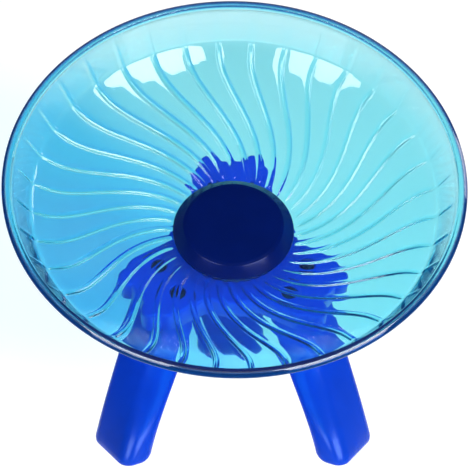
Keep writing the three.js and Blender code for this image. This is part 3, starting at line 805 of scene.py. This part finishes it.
def pan_screw(name, radius, head, length):
    """A pan-head screw with a cross recess, its seat at height 0."""
    head_radius, head_height = head
    dome = [
        (head_radius - 0.05, 0), (head_radius, 0.08), (head_radius, head_height * 0.62, head_height * 0.30),
        (head_radius * 0.55, head_height * 0.965, head_height * 0.35), (0, head_height),
    ]
    neck = radius * 0.8
    thread = threaded(radius, *SCREW_THREAD, -length, -0.5, SCREW_SEGMENTS, SCREW_TIP)
    necks = [circle(neck, height, SCREW_SEGMENTS) for height in (-0.35, 0)]
    rings = [circle(0, -length, SCREW_SEGMENTS), *thread, *necks, *turned_rings(dome, SCREW_SEGMENTS, 5)]
    return shape(skin(name, rings), cross_tool(head_radius, head_height * 0.62, head_height))


class SAUCER_OT_screws(bpy.types.Operator):
    """Build the hub's three screws and the legs' six"""

    bl_idname = "running_saucer.screws"
    bl_label = "Screws"

    def execute(self, context):
        for i, place in enumerate(HUB_SCREW_PLACES):
            name = f"hub_screw_{i + 1}"
            piece = pan_screw(f"{name}_turned", HUB_SCREW_RADIUS, HUB_SCREW_HEAD, HUB_SCREW_LENGTH)
            placed(piece, place + Vector((0, 0, PAD_TOP + SEAT_GAP)), 0.7 * i)
            seat(piece, DISH, "saucer", "zinc_steel", name)
        for i, (name, x, y) in enumerate(leg_screw_places()):
            piece = pan_screw(f"{name}_turned", LEG_SCREW_RADIUS, LEG_SCREW_HEAD, LEG_SCREW_LENGTH)
            placed(piece, (x, y, SCREW_SEAT + SEAT_GAP), 0.5 * i)
            seat(piece, DISH, "stand", "black_steel", name)
        return {"FINISHED"}


# The bearing

BORE_RADIUS = 4.15
BALL_RADIUS = 1.985
BALL_CIRCLE = 7.5
BALLS = 7
SHOULDERS = (6.1, 8.9)
HALF_WIDTH = BEARING_WIDTH / 2
CAGE_RADII = (6.9, 8.1)
CAGE_HEIGHTS = (-2.65, 1.0)
SHIELD_THICKNESS = 0.4
SHIELD_INSET = 0.3
SHIELD_SEAT = 0.6
SHIELD_RISE = 0.12


def groove(shoulder, facing, steps=12):
    """The ball's groove in a race, from its upper end to its lower one."""
    radius = BALL_RADIUS + SEAT_GAP
    reach = abs(shoulder - BALL_CIRCLE)
    start = atan2(sqrt(radius**2 - reach**2), reach)
    angles = [start - 2 * start * step / steps for step in range(steps + 1)]
    return [(BALL_CIRCLE + facing * radius * cos(angle), radius * sin(angle)) for angle in angles]


class SAUCER_OT_bearing(bpy.types.Operator):
    """Build the ball bearing: two races, seven balls in their cage and two shields"""

    bl_idname = "running_saucer.bearing"
    bl_label = "Ball bearing"

    def execute(self, context):
        place = DISH @ Matrix.Translation((0, 0, -BEARING_DEPTH))
        self.races(place)
        self.cage(place)
        self.shields(place)
        return {"FINISHED"}

    def races(self, place):
        inner_shoulder, outer_shoulder = SHOULDERS
        seat_radius = outer_shoulder + SHIELD_SEAT
        step = HALF_WIDTH - SHIELD_INSET - SHIELD_THICKNESS - SEAT_GAP
        outer = [
            *band(seat_radius, BEARING_OUTER_RADIUS, -HALF_WIDTH, HALF_WIDTH, 0.15, 0.45, 0.45, 0.15),
            (seat_radius, step), (outer_shoulder, step, 0.1), *groove(outer_shoulder, 1),
            (outer_shoulder, -step, 0.1), (seat_radius, -step),
        ]
        seat(turned("outer_race_ground", outer), place, "saucer", "race_steel", "bearing_outer_race")
        inner = [
            (BORE_RADIUS, -HALF_WIDTH, 0.3), (inner_shoulder, -HALF_WIDTH, 0.25),
            *reversed(groove(inner_shoulder, -1)),
            (inner_shoulder, HALF_WIDTH, 0.25), (BORE_RADIUS, HALF_WIDTH, 0.3),
        ]
        seat(turned("inner_race_ground", inner), place, "stand", "race_steel", "bearing_inner_race")

    def cage(self, place):
        piece = turned("cage_ring", band(*CAGE_RADII, *CAGE_HEIGHTS, 0.2, 0.2, 0.2, 0.2), 126, 3)
        spots = ring_places(BALL_CIRCLE, BALLS, first=0.0)
        shape(piece, [placed(self.ball("tool", BALL_RADIUS + SEAT_GAP), spot) for spot in spots])
        seat(piece, place, "cage", "cage_brass", "bearing_cage", smooth=28)
        for i, spot in enumerate(spots):
            piece = placed(self.ball(f"ball_{i + 1}_polished", BALL_RADIUS), spot)
            seat(piece, place, "cage", "ball_steel", f"bearing_ball_{i + 1}", smooth=60)

    def ball(self, name, radius):
        mesh = bpy.data.meshes.new(name)
        work = bmesh.new()
        bmesh.ops.create_icosphere(work, subdivisions=4, radius=radius)
        work.to_mesh(mesh)
        work.free()
        return new_object(name, mesh)

    def shields(self, place):
        inner, outer = SHOULDERS[0] + SEAT_GAP, SHOULDERS[1] + SHIELD_SEAT - SEAT_GAP
        outline = [
            (inner, 0.0, 0.05), (inner + 0.7, 0.0, 0.3), (inner + 1.1, SHIELD_RISE, 0.3),
            (outer - 0.6, SHIELD_RISE, 0.3), (outer - 0.35, 0.0, 0.1), (outer, 0.0, 0.1),
            (outer, SHIELD_THICKNESS, 0.12), (inner, SHIELD_THICKNESS, 0.1),
        ]
        bottom = Matrix.Translation((0, 0, HALF_WIDTH - SHIELD_INSET - SHIELD_THICKNESS))
        for name, turn in (("upper", Matrix.Identity(4)), ("lower", Matrix.Rotation(pi, 4, "X"))):
            piece = turned(f"{name}_shield_pressed", outline, 96, 3)
            seat(piece, place @ turn @ bottom, "saucer", "shield_steel", f"bearing_{name}_shield")


# The axle

BODY_CLEARANCE = 1.1
BODY_TOP = HOUSING_BOTTOM - SEAT_GAP - BODY_CLEARANCE
BODY_THICKNESS = 11.0
BODY_BOTTOM = BODY_TOP - BODY_THICKNESS
AXLE_RADIUS = 3.85
AXLE_SEGMENTS = 48
AXLE_GROOVE_RADIUS = AXLE_RADIUS - 0.7
AXLE_SHOULDER_RADIUS = 5.6
AXLE_FLANGE_RADIUS = 9.0
THREAD_RADIUS = 3.0
THREAD_LENGTH = 9.0
AXLE_THREAD = (0.5, 1.0)
CLIP_BOTTOM = BEARING_TOP + SEAT_GAP
CLIP_THICKNESS = 1.0
CLIP_TOP = CLIP_BOTTOM + CLIP_THICKNESS
CLIP_RADIUS = 6.8
AXLE_TOP = CLIP_TOP + 2
SHOULDER_TOP = BEARING_BOTTOM - SEAT_GAP
FLANGE_TOP = SHOULDER_TOP - 1.8
FLANGE_BOTTOM = FLANGE_TOP - 2.0
SPIGOT_BOTTOM = BODY_BOTTOM + SEAT_GAP
WASHER_RADIUS = 8.0
WASHER_TOP = BODY_BOTTOM - SEAT_GAP
WASHER_BOTTOM = WASHER_TOP - 1.6
NUT_WIDTH = 10
NUT_TOP = WASHER_BOTTOM - SEAT_GAP
NUT_BOTTOM = NUT_TOP - 5


class SAUCER_OT_axle(bpy.types.Operator):
    """Build the spindle with its thread, the clip over the bearing, and the washer and nut under the stand"""

    bl_idname = "running_saucer.axle"
    bl_label = "Axle, clip, washer and nut"

    def execute(self, context):
        self.axle()
        self.clip()
        washer = band(THREAD_RADIUS + SEAT_GAP, WASHER_RADIUS, WASHER_BOTTOM, WASHER_TOP, 0.15, 0.3, 0.15, 0.15)
        seat(turned("flat_washer", washer, 96, 3), DISH, "stand", "zinc_steel", "axle_washer")
        self.nut()
        return {"FINISHED"}

    def axle(self):
        low, high = CLIP_BOTTOM - SEAT_GAP, CLIP_TOP + SEAT_GAP
        outline = [
            (THREAD_RADIUS, SPIGOT_BOTTOM), (AXLE_RADIUS, SPIGOT_BOTTOM, 0.25), (AXLE_RADIUS, FLANGE_BOTTOM, 0.2),
            (AXLE_FLANGE_RADIUS, FLANGE_BOTTOM, 0.3), (AXLE_FLANGE_RADIUS, FLANGE_TOP, 0.4),
            (AXLE_SHOULDER_RADIUS, FLANGE_TOP, 0.3), (AXLE_SHOULDER_RADIUS, SHOULDER_TOP, 0.3),
            (AXLE_RADIUS, SHOULDER_TOP, 0.15), (AXLE_RADIUS, low, 0.1), (AXLE_GROOVE_RADIUS, low),
            (AXLE_GROOVE_RADIUS, high), (AXLE_RADIUS, high, 0.1), (AXLE_RADIUS, AXLE_TOP - 0.7, 0.2),
            (AXLE_RADIUS - 0.7, AXLE_TOP, 0.2), (0.9, AXLE_TOP, 0.1), (0, AXLE_TOP - 0.8),
        ]
        bottom = SPIGOT_BOTTOM - THREAD_LENGTH
        ends = [circle(radius, bottom, AXLE_SEGMENTS) for radius in (0, THREAD_RADIUS - 0.6)]
        thread = threaded(THREAD_RADIUS, *AXLE_THREAD, bottom, SPIGOT_BOTTOM - 0.4, AXLE_SEGMENTS)[1:]
        piece = skin("spindle_turned", [*ends, *thread, *turned_rings(outline, AXLE_SEGMENTS)])
        seat(piece, DISH, "stand", "zinc_steel", "axle")

    def clip(self):
        inner = AXLE_GROOVE_RADIUS + SEAT_GAP
        piece = turned("spring_clip", band(inner, CLIP_RADIUS, CLIP_BOTTOM, CLIP_TOP, 0.12, 0.12, 0.18, 0.18), 96, 3)
        half, length = 0.8 * inner, 8
        corners = [(-half, 0), (half, 0), (half + 0.9, length), (-half - 0.9, length)]
        shape(piece, [prism("tool", [Vector(corner) for corner in corners], CLIP_BOTTOM - 1, CLIP_TOP + 1)])
        seat(piece, DISH, "stand", "zinc_steel", "retaining_clip")

    def nut(self):
        corner = NUT_WIDTH / sqrt(3)
        piece = prism("hex_nut", [polar(corner, i * pi / 3) for i in range(6)], NUT_BOTTOM, NUT_TOP)
        face, widest, bevel = 4.9, 6.2, 0.75
        cone = [
            (0, NUT_BOTTOM), (face, NUT_BOTTOM), (widest, NUT_BOTTOM + bevel),
            (widest, NUT_TOP - bevel), (face, NUT_TOP), (0, NUT_TOP),
        ]
        shape(piece, [turned("tool", cone)], "INTERSECT")
        radius, ease = THREAD_RADIUS + SEAT_GAP, 0.5
        bore = [
            (0, NUT_BOTTOM - 1), (radius + ease, NUT_BOTTOM - 1), (radius + ease, NUT_BOTTOM),
            (radius, NUT_BOTTOM + ease), (radius, NUT_TOP - ease), (radius + ease, NUT_TOP),
            (radius + ease, NUT_TOP + 1), (0, NUT_TOP + 1),
        ]
        shape(piece, [turned("tool", bore, 64)])
        seat(piece, DISH, "stand", "zinc_steel", "axle_nut", smooth=24)


# The stand

LEGS = [
    (name, pi / 2 + 2 * pi * i / 3)
    for i, name in enumerate(("rear_leg", "front_left_leg", "front_right_leg"))
]
LEG_TOP_REACH, LEG_TOP_WIDTH, LEG_TOP_THICKNESS = 30.0, 27.0, 20.0
ARM_REACH = LEG_TOP_REACH + LEG_TOP_THICKNESS / 2 + 4.5
ARM_HALF_WIDTH = LEG_TOP_WIDTH / 2 + 3
ARM_ROUND = 9.0
BODY_RADIUS = 27.0
BODY_ROOF = 3
BODY_INSET = 0.12
BODY_BOSS_RADIUS = 12
EAR_REACH, EAR_SIDE, EAR_RADIUS = ARM_REACH - 1.5, 9.0, 4.6
SCREW_SEAT = BODY_TOP - LEG_SCREW_HEAD[1] - SEAT_GAP
LEG_SCREW_SPREAD = 7.5
FOOT_CIRCLE = 51.4
SETBACK = 7.4
LEG_ROUND = 6.0
LEG_FOOT_RISE, LEG_FOOT_LEAN = 17, 0.2
LEG_TOP_DROP, LEG_TOP_OUT = 20, 6
LEG_STEPS = 30
SOLE_ROUND = 3.4
SOLE_STEPS = 10
SOCKET_SIZE = (5.4, 15)
SOCKET_ROUND = 2
SOCKET_DEPTH = 1.8


def arm_point(angle, along, across):
    x = along * cos(angle) - across * sin(angle)
    y = along * sin(angle) + across * cos(angle)
    return Vector((x, y, 0))


def leg_screw_places():
    """The name and the place of each leg screw in the plane of the body."""
    found = []
    for name, angle in LEGS:
        for side, across in (("left", LEG_SCREW_SPREAD), ("right", -LEG_SCREW_SPREAD)):
            place = arm_point(angle, LEG_TOP_REACH, across)
            found.append((f"{name}_screw_{side}", place.x, place.y))
    return found


def reach_to_circle(angle, x, y, radius):
    """How far along a ray from the middle the far side of a circle is, or 0 where the ray misses it."""
    along = x * cos(angle) + y * sin(angle)
    spare = radius**2 - (x * x + y * y - along * along)
    return along + sqrt(spare) if spare > 0 and along > 0 else 0.0


def reach_to_arm(angle):
    """How far along a ray from the middle the end or the side of an arm along angle 0 is."""
    if cos(angle) < 0.05:
        return 0.0
    reach = min(ARM_REACH / cos(angle), ARM_HALF_WIDTH / max(abs(sin(angle)), 1e-6))
    centre = (ARM_REACH - ARM_ROUND, ARM_HALF_WIDTH - ARM_ROUND)
    if reach * cos(angle) > centre[0] and reach * abs(sin(angle)) > centre[1]:
        return reach_to_circle(abs(angle), *centre, ARM_ROUND)
    return reach


def body_outline(count=420, blend=0.55):
    """The outline of the three-armed body, its inner corners eased, with points evenly apart."""
    dense = []
    for i in range(3600):
        angle = 2 * pi * i / 3600
        reaches = [BODY_RADIUS]
        for _, arm in LEGS:
            local = (angle - arm + pi) % (2 * pi) - pi
            reaches.append(reach_to_arm(local))
            reaches += [reach_to_circle(local, EAR_REACH, side * EAR_SIDE, EAR_RADIUS) for side in (-1, 1)]
        top = max(reaches)
        reach = top + blend * log(sum(exp((value - top) / blend) for value in reaches))
        reach = top + (reach - top) * 0.9
        dense.append(polar(reach, angle).xy)
    lengths = [0.0]
    for a, b in zip(dense, dense[1:] + dense[:1]):
        lengths.append(lengths[-1] + (b - a).length)
    points, place = [], 0
    for i in range(count):
        goal = lengths[-1] * i / count
        while lengths[place + 1] < goal:
            place += 1
        share = (goal - lengths[place]) / (lengths[place + 1] - lengths[place])
        points.append(dense[place].lerp(dense[(place + 1) % len(dense)], share))
    return points


class SAUCER_OT_stand_body(bpy.types.Operator):
    """Build the hollow three-armed body of the stand"""

    bl_idname = "running_saucer.stand_body"
    bl_label = "Stand body"

    def execute(self, context):
        stand = settings("saucer_stand")
        bottom = BODY_TOP - stand.thickness / MM
        outline = inset(body_outline(), BODY_INSET)
        piece = eased_prism("stand_body_shell", outline, bottom, BODY_TOP, 1.5, 5, bottom_ease=0.5)
        hollow = inset(outline, stand.wall / MM)
        shape(piece, [eased_prism("tool", hollow, bottom - 3, BODY_TOP - BODY_ROOF, 0.9)])
        high = BODY_TOP - 2
        boss = [(0, bottom), (BODY_BOSS_RADIUS, bottom, 0.5), (BODY_BOSS_RADIUS, high), (0, high)]
        shape(piece, [turned("boss", boss)], "UNION")
        flange, flange_seat = AXLE_FLANGE_RADIUS + SEAT_GAP, FLANGE_BOTTOM - SEAT_GAP
        tools = [sink_tool(AXLE_RADIUS + SEAT_GAP, flange, bottom - 1, flange_seat, BODY_TOP, 0.4)]
        screw, head = LEG_SCREW_RADIUS + SEAT_GAP, LEG_SCREW_HEAD[0] + SEAT_GAP
        for _, x, y in leg_screw_places():
            tools.append(placed(sink_tool(screw, head, bottom - 1, SCREW_SEAT, BODY_TOP), (x, y, 0)))
        shape(piece, tools)
        seat(piece, DISH, "stand", "stand_plastic", "stand_body", smooth=38)
        return {"FINISHED"}


class Leg:
    """Where one leg stands, where it meets the body and how it turns on the way."""

    def __init__(self, angle):
        turn = DISH_IN_GROUND.to_3x3()
        self.foot = Vector((FOOT_CIRCLE * cos(angle), SETBACK + FOOT_CIRCLE * sin(angle), 0))
        self.along = polar(1, angle)
        self.across = Vector((-sin(angle), cos(angle), 0))
        self.top_along = turn @ self.along
        self.top_across = turn @ self.across
        self.up = turn @ Vector((0, 0, 1))
        self.top = DISH_IN_GROUND @ (self.along * LEG_TOP_REACH + Vector((0, 0, BODY_BOTTOM)))

    def centre(self, share):
        lean = self.top - self.foot
        lean.z = 0
        low = self.foot + Vector((0, 0, LEG_FOOT_RISE)) + lean * LEG_FOOT_LEAN
        high = self.top - Vector((0, 0, LEG_TOP_DROP)) + self.top_along * LEG_TOP_OUT
        return bezier([self.foot, low, high, self.top - self.up * SEAT_GAP], share)

    def ring(self, stand, centre, share, inset_by=0.0):
        foot_width, foot_thickness = stand.foot_width / MM, stand.foot_thickness / MM
        width = foot_width + (LEG_TOP_WIDTH - foot_width) * share - 2 * inset_by
        thickness = foot_thickness + (LEG_TOP_THICKNESS - foot_thickness) * share * share - 2 * inset_by
        turn = smoothstep(share, 0, 1)
        along = self.along.lerp(self.top_along, turn).normalized()
        across = self.across.lerp(self.top_across, turn).normalized()
        corner = LEG_ROUND + 1.5 * share - inset_by
        outline = rounded_rectangle(thickness, width, max(corner, 1.5), 9)
        return [centre + along * p.x + across * p.y for p in outline]

    def rings(self, stand):
        """The rounded sole and then the leg, from the ground to the body."""
        rings = []
        low = next(i for i in range(1, 400) if self.centre(i / 400).z >= SOLE_ROUND) / 400
        for step in range(SOLE_STEPS):
            angle = pi / 2 * step / SOLE_STEPS
            height = SOLE_ROUND * (1 - cos(angle))
            share = low * height / SOLE_ROUND
            centre = self.centre(share)
            centre.z = height
            rings.append(self.ring(stand, centre, share, SOLE_ROUND * (1 - sin(angle))))
        for step in range(LEG_STEPS + 1):
            share = low + (1 - low) * step / LEG_STEPS
            rings.append(self.ring(stand, self.centre(share), share))
        return rings


class SAUCER_OT_legs(bpy.types.Operator):
    """Build the three legs with the plugs that go up into the body"""

    bl_idname = "running_saucer.legs"
    bl_label = "Legs"

    def execute(self, context):
        stand = settings("saucer_stand")
        plug_outline = rounded_rectangle(LEG_TOP_THICKNESS - 1.6, LEG_TOP_WIDTH - 1.6, 4.6, 8)
        low = SCREW_SEAT - LEG_SCREW_LENGTH - SEAT_GAP
        for name, angle in LEGS:
            leg = Leg(angle)
            piece = skin(f"{name}_shell", leg.rings(stand), capped=True)
            plug = eased_prism("plug", plug_outline, BODY_BOTTOM - 5, BODY_TOP - BODY_ROOF - SEAT_GAP, 0.8)
            spot = Matrix.Rotation(angle, 4, "Z") @ Matrix.Translation((LEG_TOP_REACH, 0, 0))
            shape(piece, [moved(plug, DISH_IN_GROUND @ spot)], "UNION")
            tools = []
            for across in (LEG_SCREW_SPREAD, -LEG_SCREW_SPREAD):
                spot = Matrix.Translation(arm_point(angle, LEG_TOP_REACH, across))
                pilot = tool_rod(LEG_SCREW_RADIUS + SEAT_GAP, low, BODY_TOP)
                tools.append(moved(pilot, DISH_IN_GROUND @ spot))
            socket = prism("tool", rounded_rectangle(*SOCKET_SIZE, SOCKET_ROUND), -1, SOCKET_DEPTH)
            shape(piece, [*tools, placed(socket, leg.foot, angle)])
            seat(piece, GROUND, "stand", "stand_plastic", name, smooth=40)
        return {"FINISHED"}


class SAUCER_OT_foot_pads(bpy.types.Operator):
    """Build the rubber pads let into the soles of the legs"""

    bl_idname = "running_saucer.foot_pads"
    bl_label = "Foot pads"

    def execute(self, context):
        width, length = (size - 2 * SEAT_GAP for size in SOCKET_SIZE)
        outline = rounded_rectangle(width, length, SOCKET_ROUND - SEAT_GAP)
        for name, angle in LEGS:
            node = name.replace("leg", "foot_pad")
            piece = eased_prism(f"{node}_moulded", outline, -0.4, SOCKET_DEPTH - SEAT_GAP, 0.3)
            seat(placed(piece, Leg(angle).foot, angle), GROUND, "stand", "foot_rubber", node)
        return {"FINISHED"}


# The stage

CAMERA_AZIMUTH = radians(-1.285)
CAMERA_ELEVATION = radians(26.918)
CAMERA_ROLL = radians(0.55)
CAMERA_SLIDE = (0.000272, -0.022030)
CAMERA_LENS = 198.73
FLOOR_HALF = 3
FLOOR_DROP = 0.0001
PAPER_GLOW = 1.2
PAPER_GLOW_TO_EYE, PAPER_GLOW_TO_PLASTIC = 0.7, 0.05
ROOM_LIGHT = 0.12
ROOM_OVERHEAD = (0.012, 0.042, 0.13, 1)

# How high in the room each change starts and ends, and the brightness in gloss there.
MIRRORED_FADE = (0.18, 0.48, 0.35, 0.02)
OVERHEAD_FADE = (0.38, 0.52)

CARD_PLACE = (0, -0.30, 0.057)

# For each lamp: its azimuth, which grows from the front to the right, and its elevation, in degrees; its distance,
# width and height, in metres; the setting of its power, and its share of that; and the rays that do not see it.
LAMPS = {
    "paper_lamp": (27, 25, 2.6, 0.55, 0.55, "paper", 1, ()),
    "paper_lamp_warm": (27, 25, 2.55, 0.55, 0.55, "paper", 1, ()),
    "right_lamp": (34, 35, 1.1, 0.66, 0.52, "key", 1, ("glossy", "transmission")),
    "low_lamp": (42, 10, 1.2, 0.30, 0.16, "low", 1, ("glossy", "transmission")),
    "left_lamp": (-37, 35, 1.1, 0.42, 0.46, "fill", 1, ("glossy", "transmission")),
    "right_softbox": (34, 35, 1.0, 0.56, 0.47, "gloss", 1, ("diffuse", "transmission")),
    "left_softbox": (-34, 37, 1.0, 0.44, 0.42, "gloss", 0.55, ("diffuse", "transmission")),
    "rear_softbox": (118, 28, 0.95, 0.29, 0.29, "gloss", 0.15, ("diffuse", "transmission")),
    "front_card": (0, 0, 0.30, 0.80, 0.11, "card", 1, ("diffuse",)),
}

# The cool paper lamp shines through the stand, and the warm one is stopped by it, so shadows on the paper are blue.
PAPER_LAMPS = {
    "paper_lamp": ((0.44, 0.57, 0.82), ("dish_shell",)),
    "paper_lamp_warm": ((0.58, 0.45, 0.18), ("dish_shell", "stand", "hub")),
}


def soft_lamp(stage, name, azimuth, elevation, distance, width, height, power, share, hidden):
    """A rectangular soft lamp that faces the middle of the dish."""
    lamp = bpy.data.lights.new(name, "AREA")
    lamp.shape = "RECTANGLE"
    lamp.size, lamp.size_y = width, height
    lamp.energy = getattr(stage, power) * share
    piece = new_object(name, lamp)
    a, e = radians(azimuth), radians(elevation)
    towards = Vector((sin(a) * cos(e), -cos(a) * cos(e), sin(e)))
    piece.location = RIM_CENTRE + towards * distance
    piece.rotation_euler = towards.to_track_quat("Z", "Y").to_euler()
    for rays in ("camera", *hidden):
        setattr(piece, f"visible_{rays}", False)
    return piece


def collection_of(name, pieces):
    made = bpy.data.collections.new(name)
    for piece in pieces:
        made.objects.link(piece)
    return made


class SAUCER_OT_stage(bpy.types.Operator):
    """Set up the white floor, the soft lamps and the camera"""

    bl_idname = "running_saucer.stage"
    bl_label = "Floor, lamps and camera"

    def execute(self, context):
        stage = settings("saucer_stage")
        floor = self.floor(stage)
        self.world(context.scene)
        self.lamps(stage, floor)
        self.camera(context.scene, stage)
        context.scene.view_settings.view_transform = "Standard"
        return {"FINISHED"}

    def lamps(self, stage, floor):
        paper = collection_of("paper", [floor])
        others = collection_of("all_but_the_paper", [floor])
        others.collection_objects[0].light_linking.link_state = "EXCLUDE"
        pieces = list(bpy.data.objects)
        lamps = {name: soft_lamp(stage, name, *about) for name, about in LAMPS.items()}
        for name, (colour, blockers) in PAPER_LAMPS.items():
            blocking = [piece for piece in pieces if piece.name.startswith(blockers)]
            lamps[name].data.color = colour
            lamps[name].light_linking.receiver_collection = paper
            lamps[name].light_linking.blocker_collection = collection_of(f"{name}_blockers", blocking)
        for name in ("right_lamp", "low_lamp"):
            lamps[name].light_linking.receiver_collection = others
        lamps["front_card"].location = CARD_PLACE
        lamps["front_card"].rotation_euler = (pi / 2, 0, 0)

    def floor(self, stage):
        """A sheet of white paper that is whiter to the camera, and a little whiter in gloss and through plastic."""
        corners = [(x * FLOOR_HALF, y * FLOOR_HALF, -FLOOR_DROP) for x, y in ((-1, -1), (1, -1), (1, 1), (-1, 1))]
        piece = new_piece("floor", corners, [(0, 1, 2, 3)])
        material, tree, shader, output = new_finish("floor_white_paper")
        grain = two_tones(tree, object_noise(tree, scale=220, detail=3), scaled(stage.floor, 0.985), stage.floor)
        feed(shader, {"Base Color": grain, "Roughness": 0.9, "Specular IOR Level": 0.1})
        glow = new_node(tree, "ShaderNodeEmission", {"Strength": PAPER_GLOW})
        rays = ray_kinds(tree)
        near = maths(tree, "MAXIMUM", rays["Is Glossy Ray"], rays["Is Transmission Ray"])
        to_eye = maths(tree, "MULTIPLY", rays["Is Camera Ray"], PAPER_GLOW_TO_EYE)
        to_plastic = maths(tree, "MULTIPLY", near, PAPER_GLOW_TO_PLASTIC)
        share = maths(tree, "MAXIMUM", to_eye, to_plastic)
        feed(output, {"Surface": mixed_shader(tree, share, shader.outputs["BSDF"], glow.outputs["Emission"])})
        piece.data.materials.append(material)
        return piece

    def world(self, scene):
        """A dim white room, white to the eye, darker upwards in gloss and deep blue overhead through the plastic."""
        world = bpy.data.worlds.new("white_room")
        scene.world = world
        world.use_nodes = True
        tree = world.node_tree
        room = feed(tree.nodes["Background"], {"Color": WHITE, "Strength": ROOM_LIGHT})
        place = new_node(tree, "ShaderNodeTexCoord", {}).outputs["Generated"]
        up = new_node(tree, "ShaderNodeSeparateXYZ", {"Vector": place}).outputs["Z"]
        rays = ray_kinds(tree)
        mirrored = map_range(tree, up, *MIRRORED_FADE)
        overhead = map_range(tree, up, *OVERHEAD_FADE)
        unseen = maths(tree, "SUBTRACT", overhead, rays["Is Camera Ray"], use_clamp=True)
        through = mixed_colour(tree, unseen, WHITE, ROOM_OVERHEAD)
        direct = maths(tree, "MAXIMUM", rays["Is Camera Ray"], rays["Is Transmission Ray"])
        level = mixed_colour(tree, direct, mirrored, through)
        seen = new_node(tree, "ShaderNodeBackground", {"Color": level})
        any_seen = maths(tree, "MAXIMUM", direct, rays["Is Glossy Ray"])
        both = mixed_shader(tree, any_seen, room.outputs["Background"], seen.outputs["Background"])
        feed(tree.nodes["World Output"], {"Surface": both})

    def camera(self, scene, stage):
        lens = bpy.data.cameras.new("camera")
        lens.lens = CAMERA_LENS
        lens.sensor_width = 36
        lens.clip_start = 0.01
        piece = new_object("camera", lens)
        turn = Matrix.Rotation(CAMERA_AZIMUTH, 3, "Z") @ Matrix.Rotation(pi / 2 - CAMERA_ELEVATION, 3, "X")
        right, up, back = (turn @ Vector(axis) for axis in ((1, 0, 0), (0, 1, 0), (0, 0, 1)))
        piece.location = RIM_CENTRE + back * stage.distance + right * CAMERA_SLIDE[0] + up * CAMERA_SLIDE[1]
        piece.rotation_euler = (turn @ Matrix.Rotation(CAMERA_ROLL, 3, "Z")).to_euler()
        scene.camera = piece


# The add-on

OPERATORS = (
    SAUCER_OT_dish, SAUCER_OT_hub, SAUCER_OT_bearing, SAUCER_OT_axle, SAUCER_OT_stand_body, SAUCER_OT_legs,
    SAUCER_OT_foot_pads, SAUCER_OT_screws, SAUCER_OT_stage,
)
SETTINGS = (
    ("saucer_dish", DishSettings),
    ("saucer_hub", HubSettings),
    ("saucer_stand", StandSettings),
    ("saucer_stage", StageSettings),
)


class SAUCER_PT_panel(bpy.types.Panel):
    bl_idname = "SAUCER_PT_panel"
    bl_label = "Running Saucer"
    bl_space_type = "VIEW_3D"
    bl_region_type = "UI"
    bl_category = "Running Saucer"

    def draw(self, context):
        for name, group in SETTINGS:
            box = self.layout.box()
            for key in group.__annotations__:
                box.prop(getattr(context.scene, name), key)
        for operator in OPERATORS:
            self.layout.operator(operator.bl_idname)


def register():
    for _, group in SETTINGS:
        bpy.utils.register_class(group)
    for name, group in SETTINGS:
        setattr(bpy.types.Scene, name, PointerProperty(type=group))
    for shown in (*OPERATORS, SAUCER_PT_panel):
        bpy.utils.register_class(shown)


def unregister():
    for shown in (SAUCER_PT_panel, *reversed(OPERATORS)):
        bpy.utils.unregister_class(shown)
    for name, group in reversed(SETTINGS):
        delattr(bpy.types.Scene, name)
        bpy.utils.unregister_class(group)


def main():
    register()
    for operator in OPERATORS:
        step = operator.bl_idname.split(".")[1]
        result = getattr(bpy.ops.running_saucer, step)()
        if result != {"FINISHED"}:
            raise RuntimeError(f"{step} did not finish")


if __name__ == "__main__":
    main()
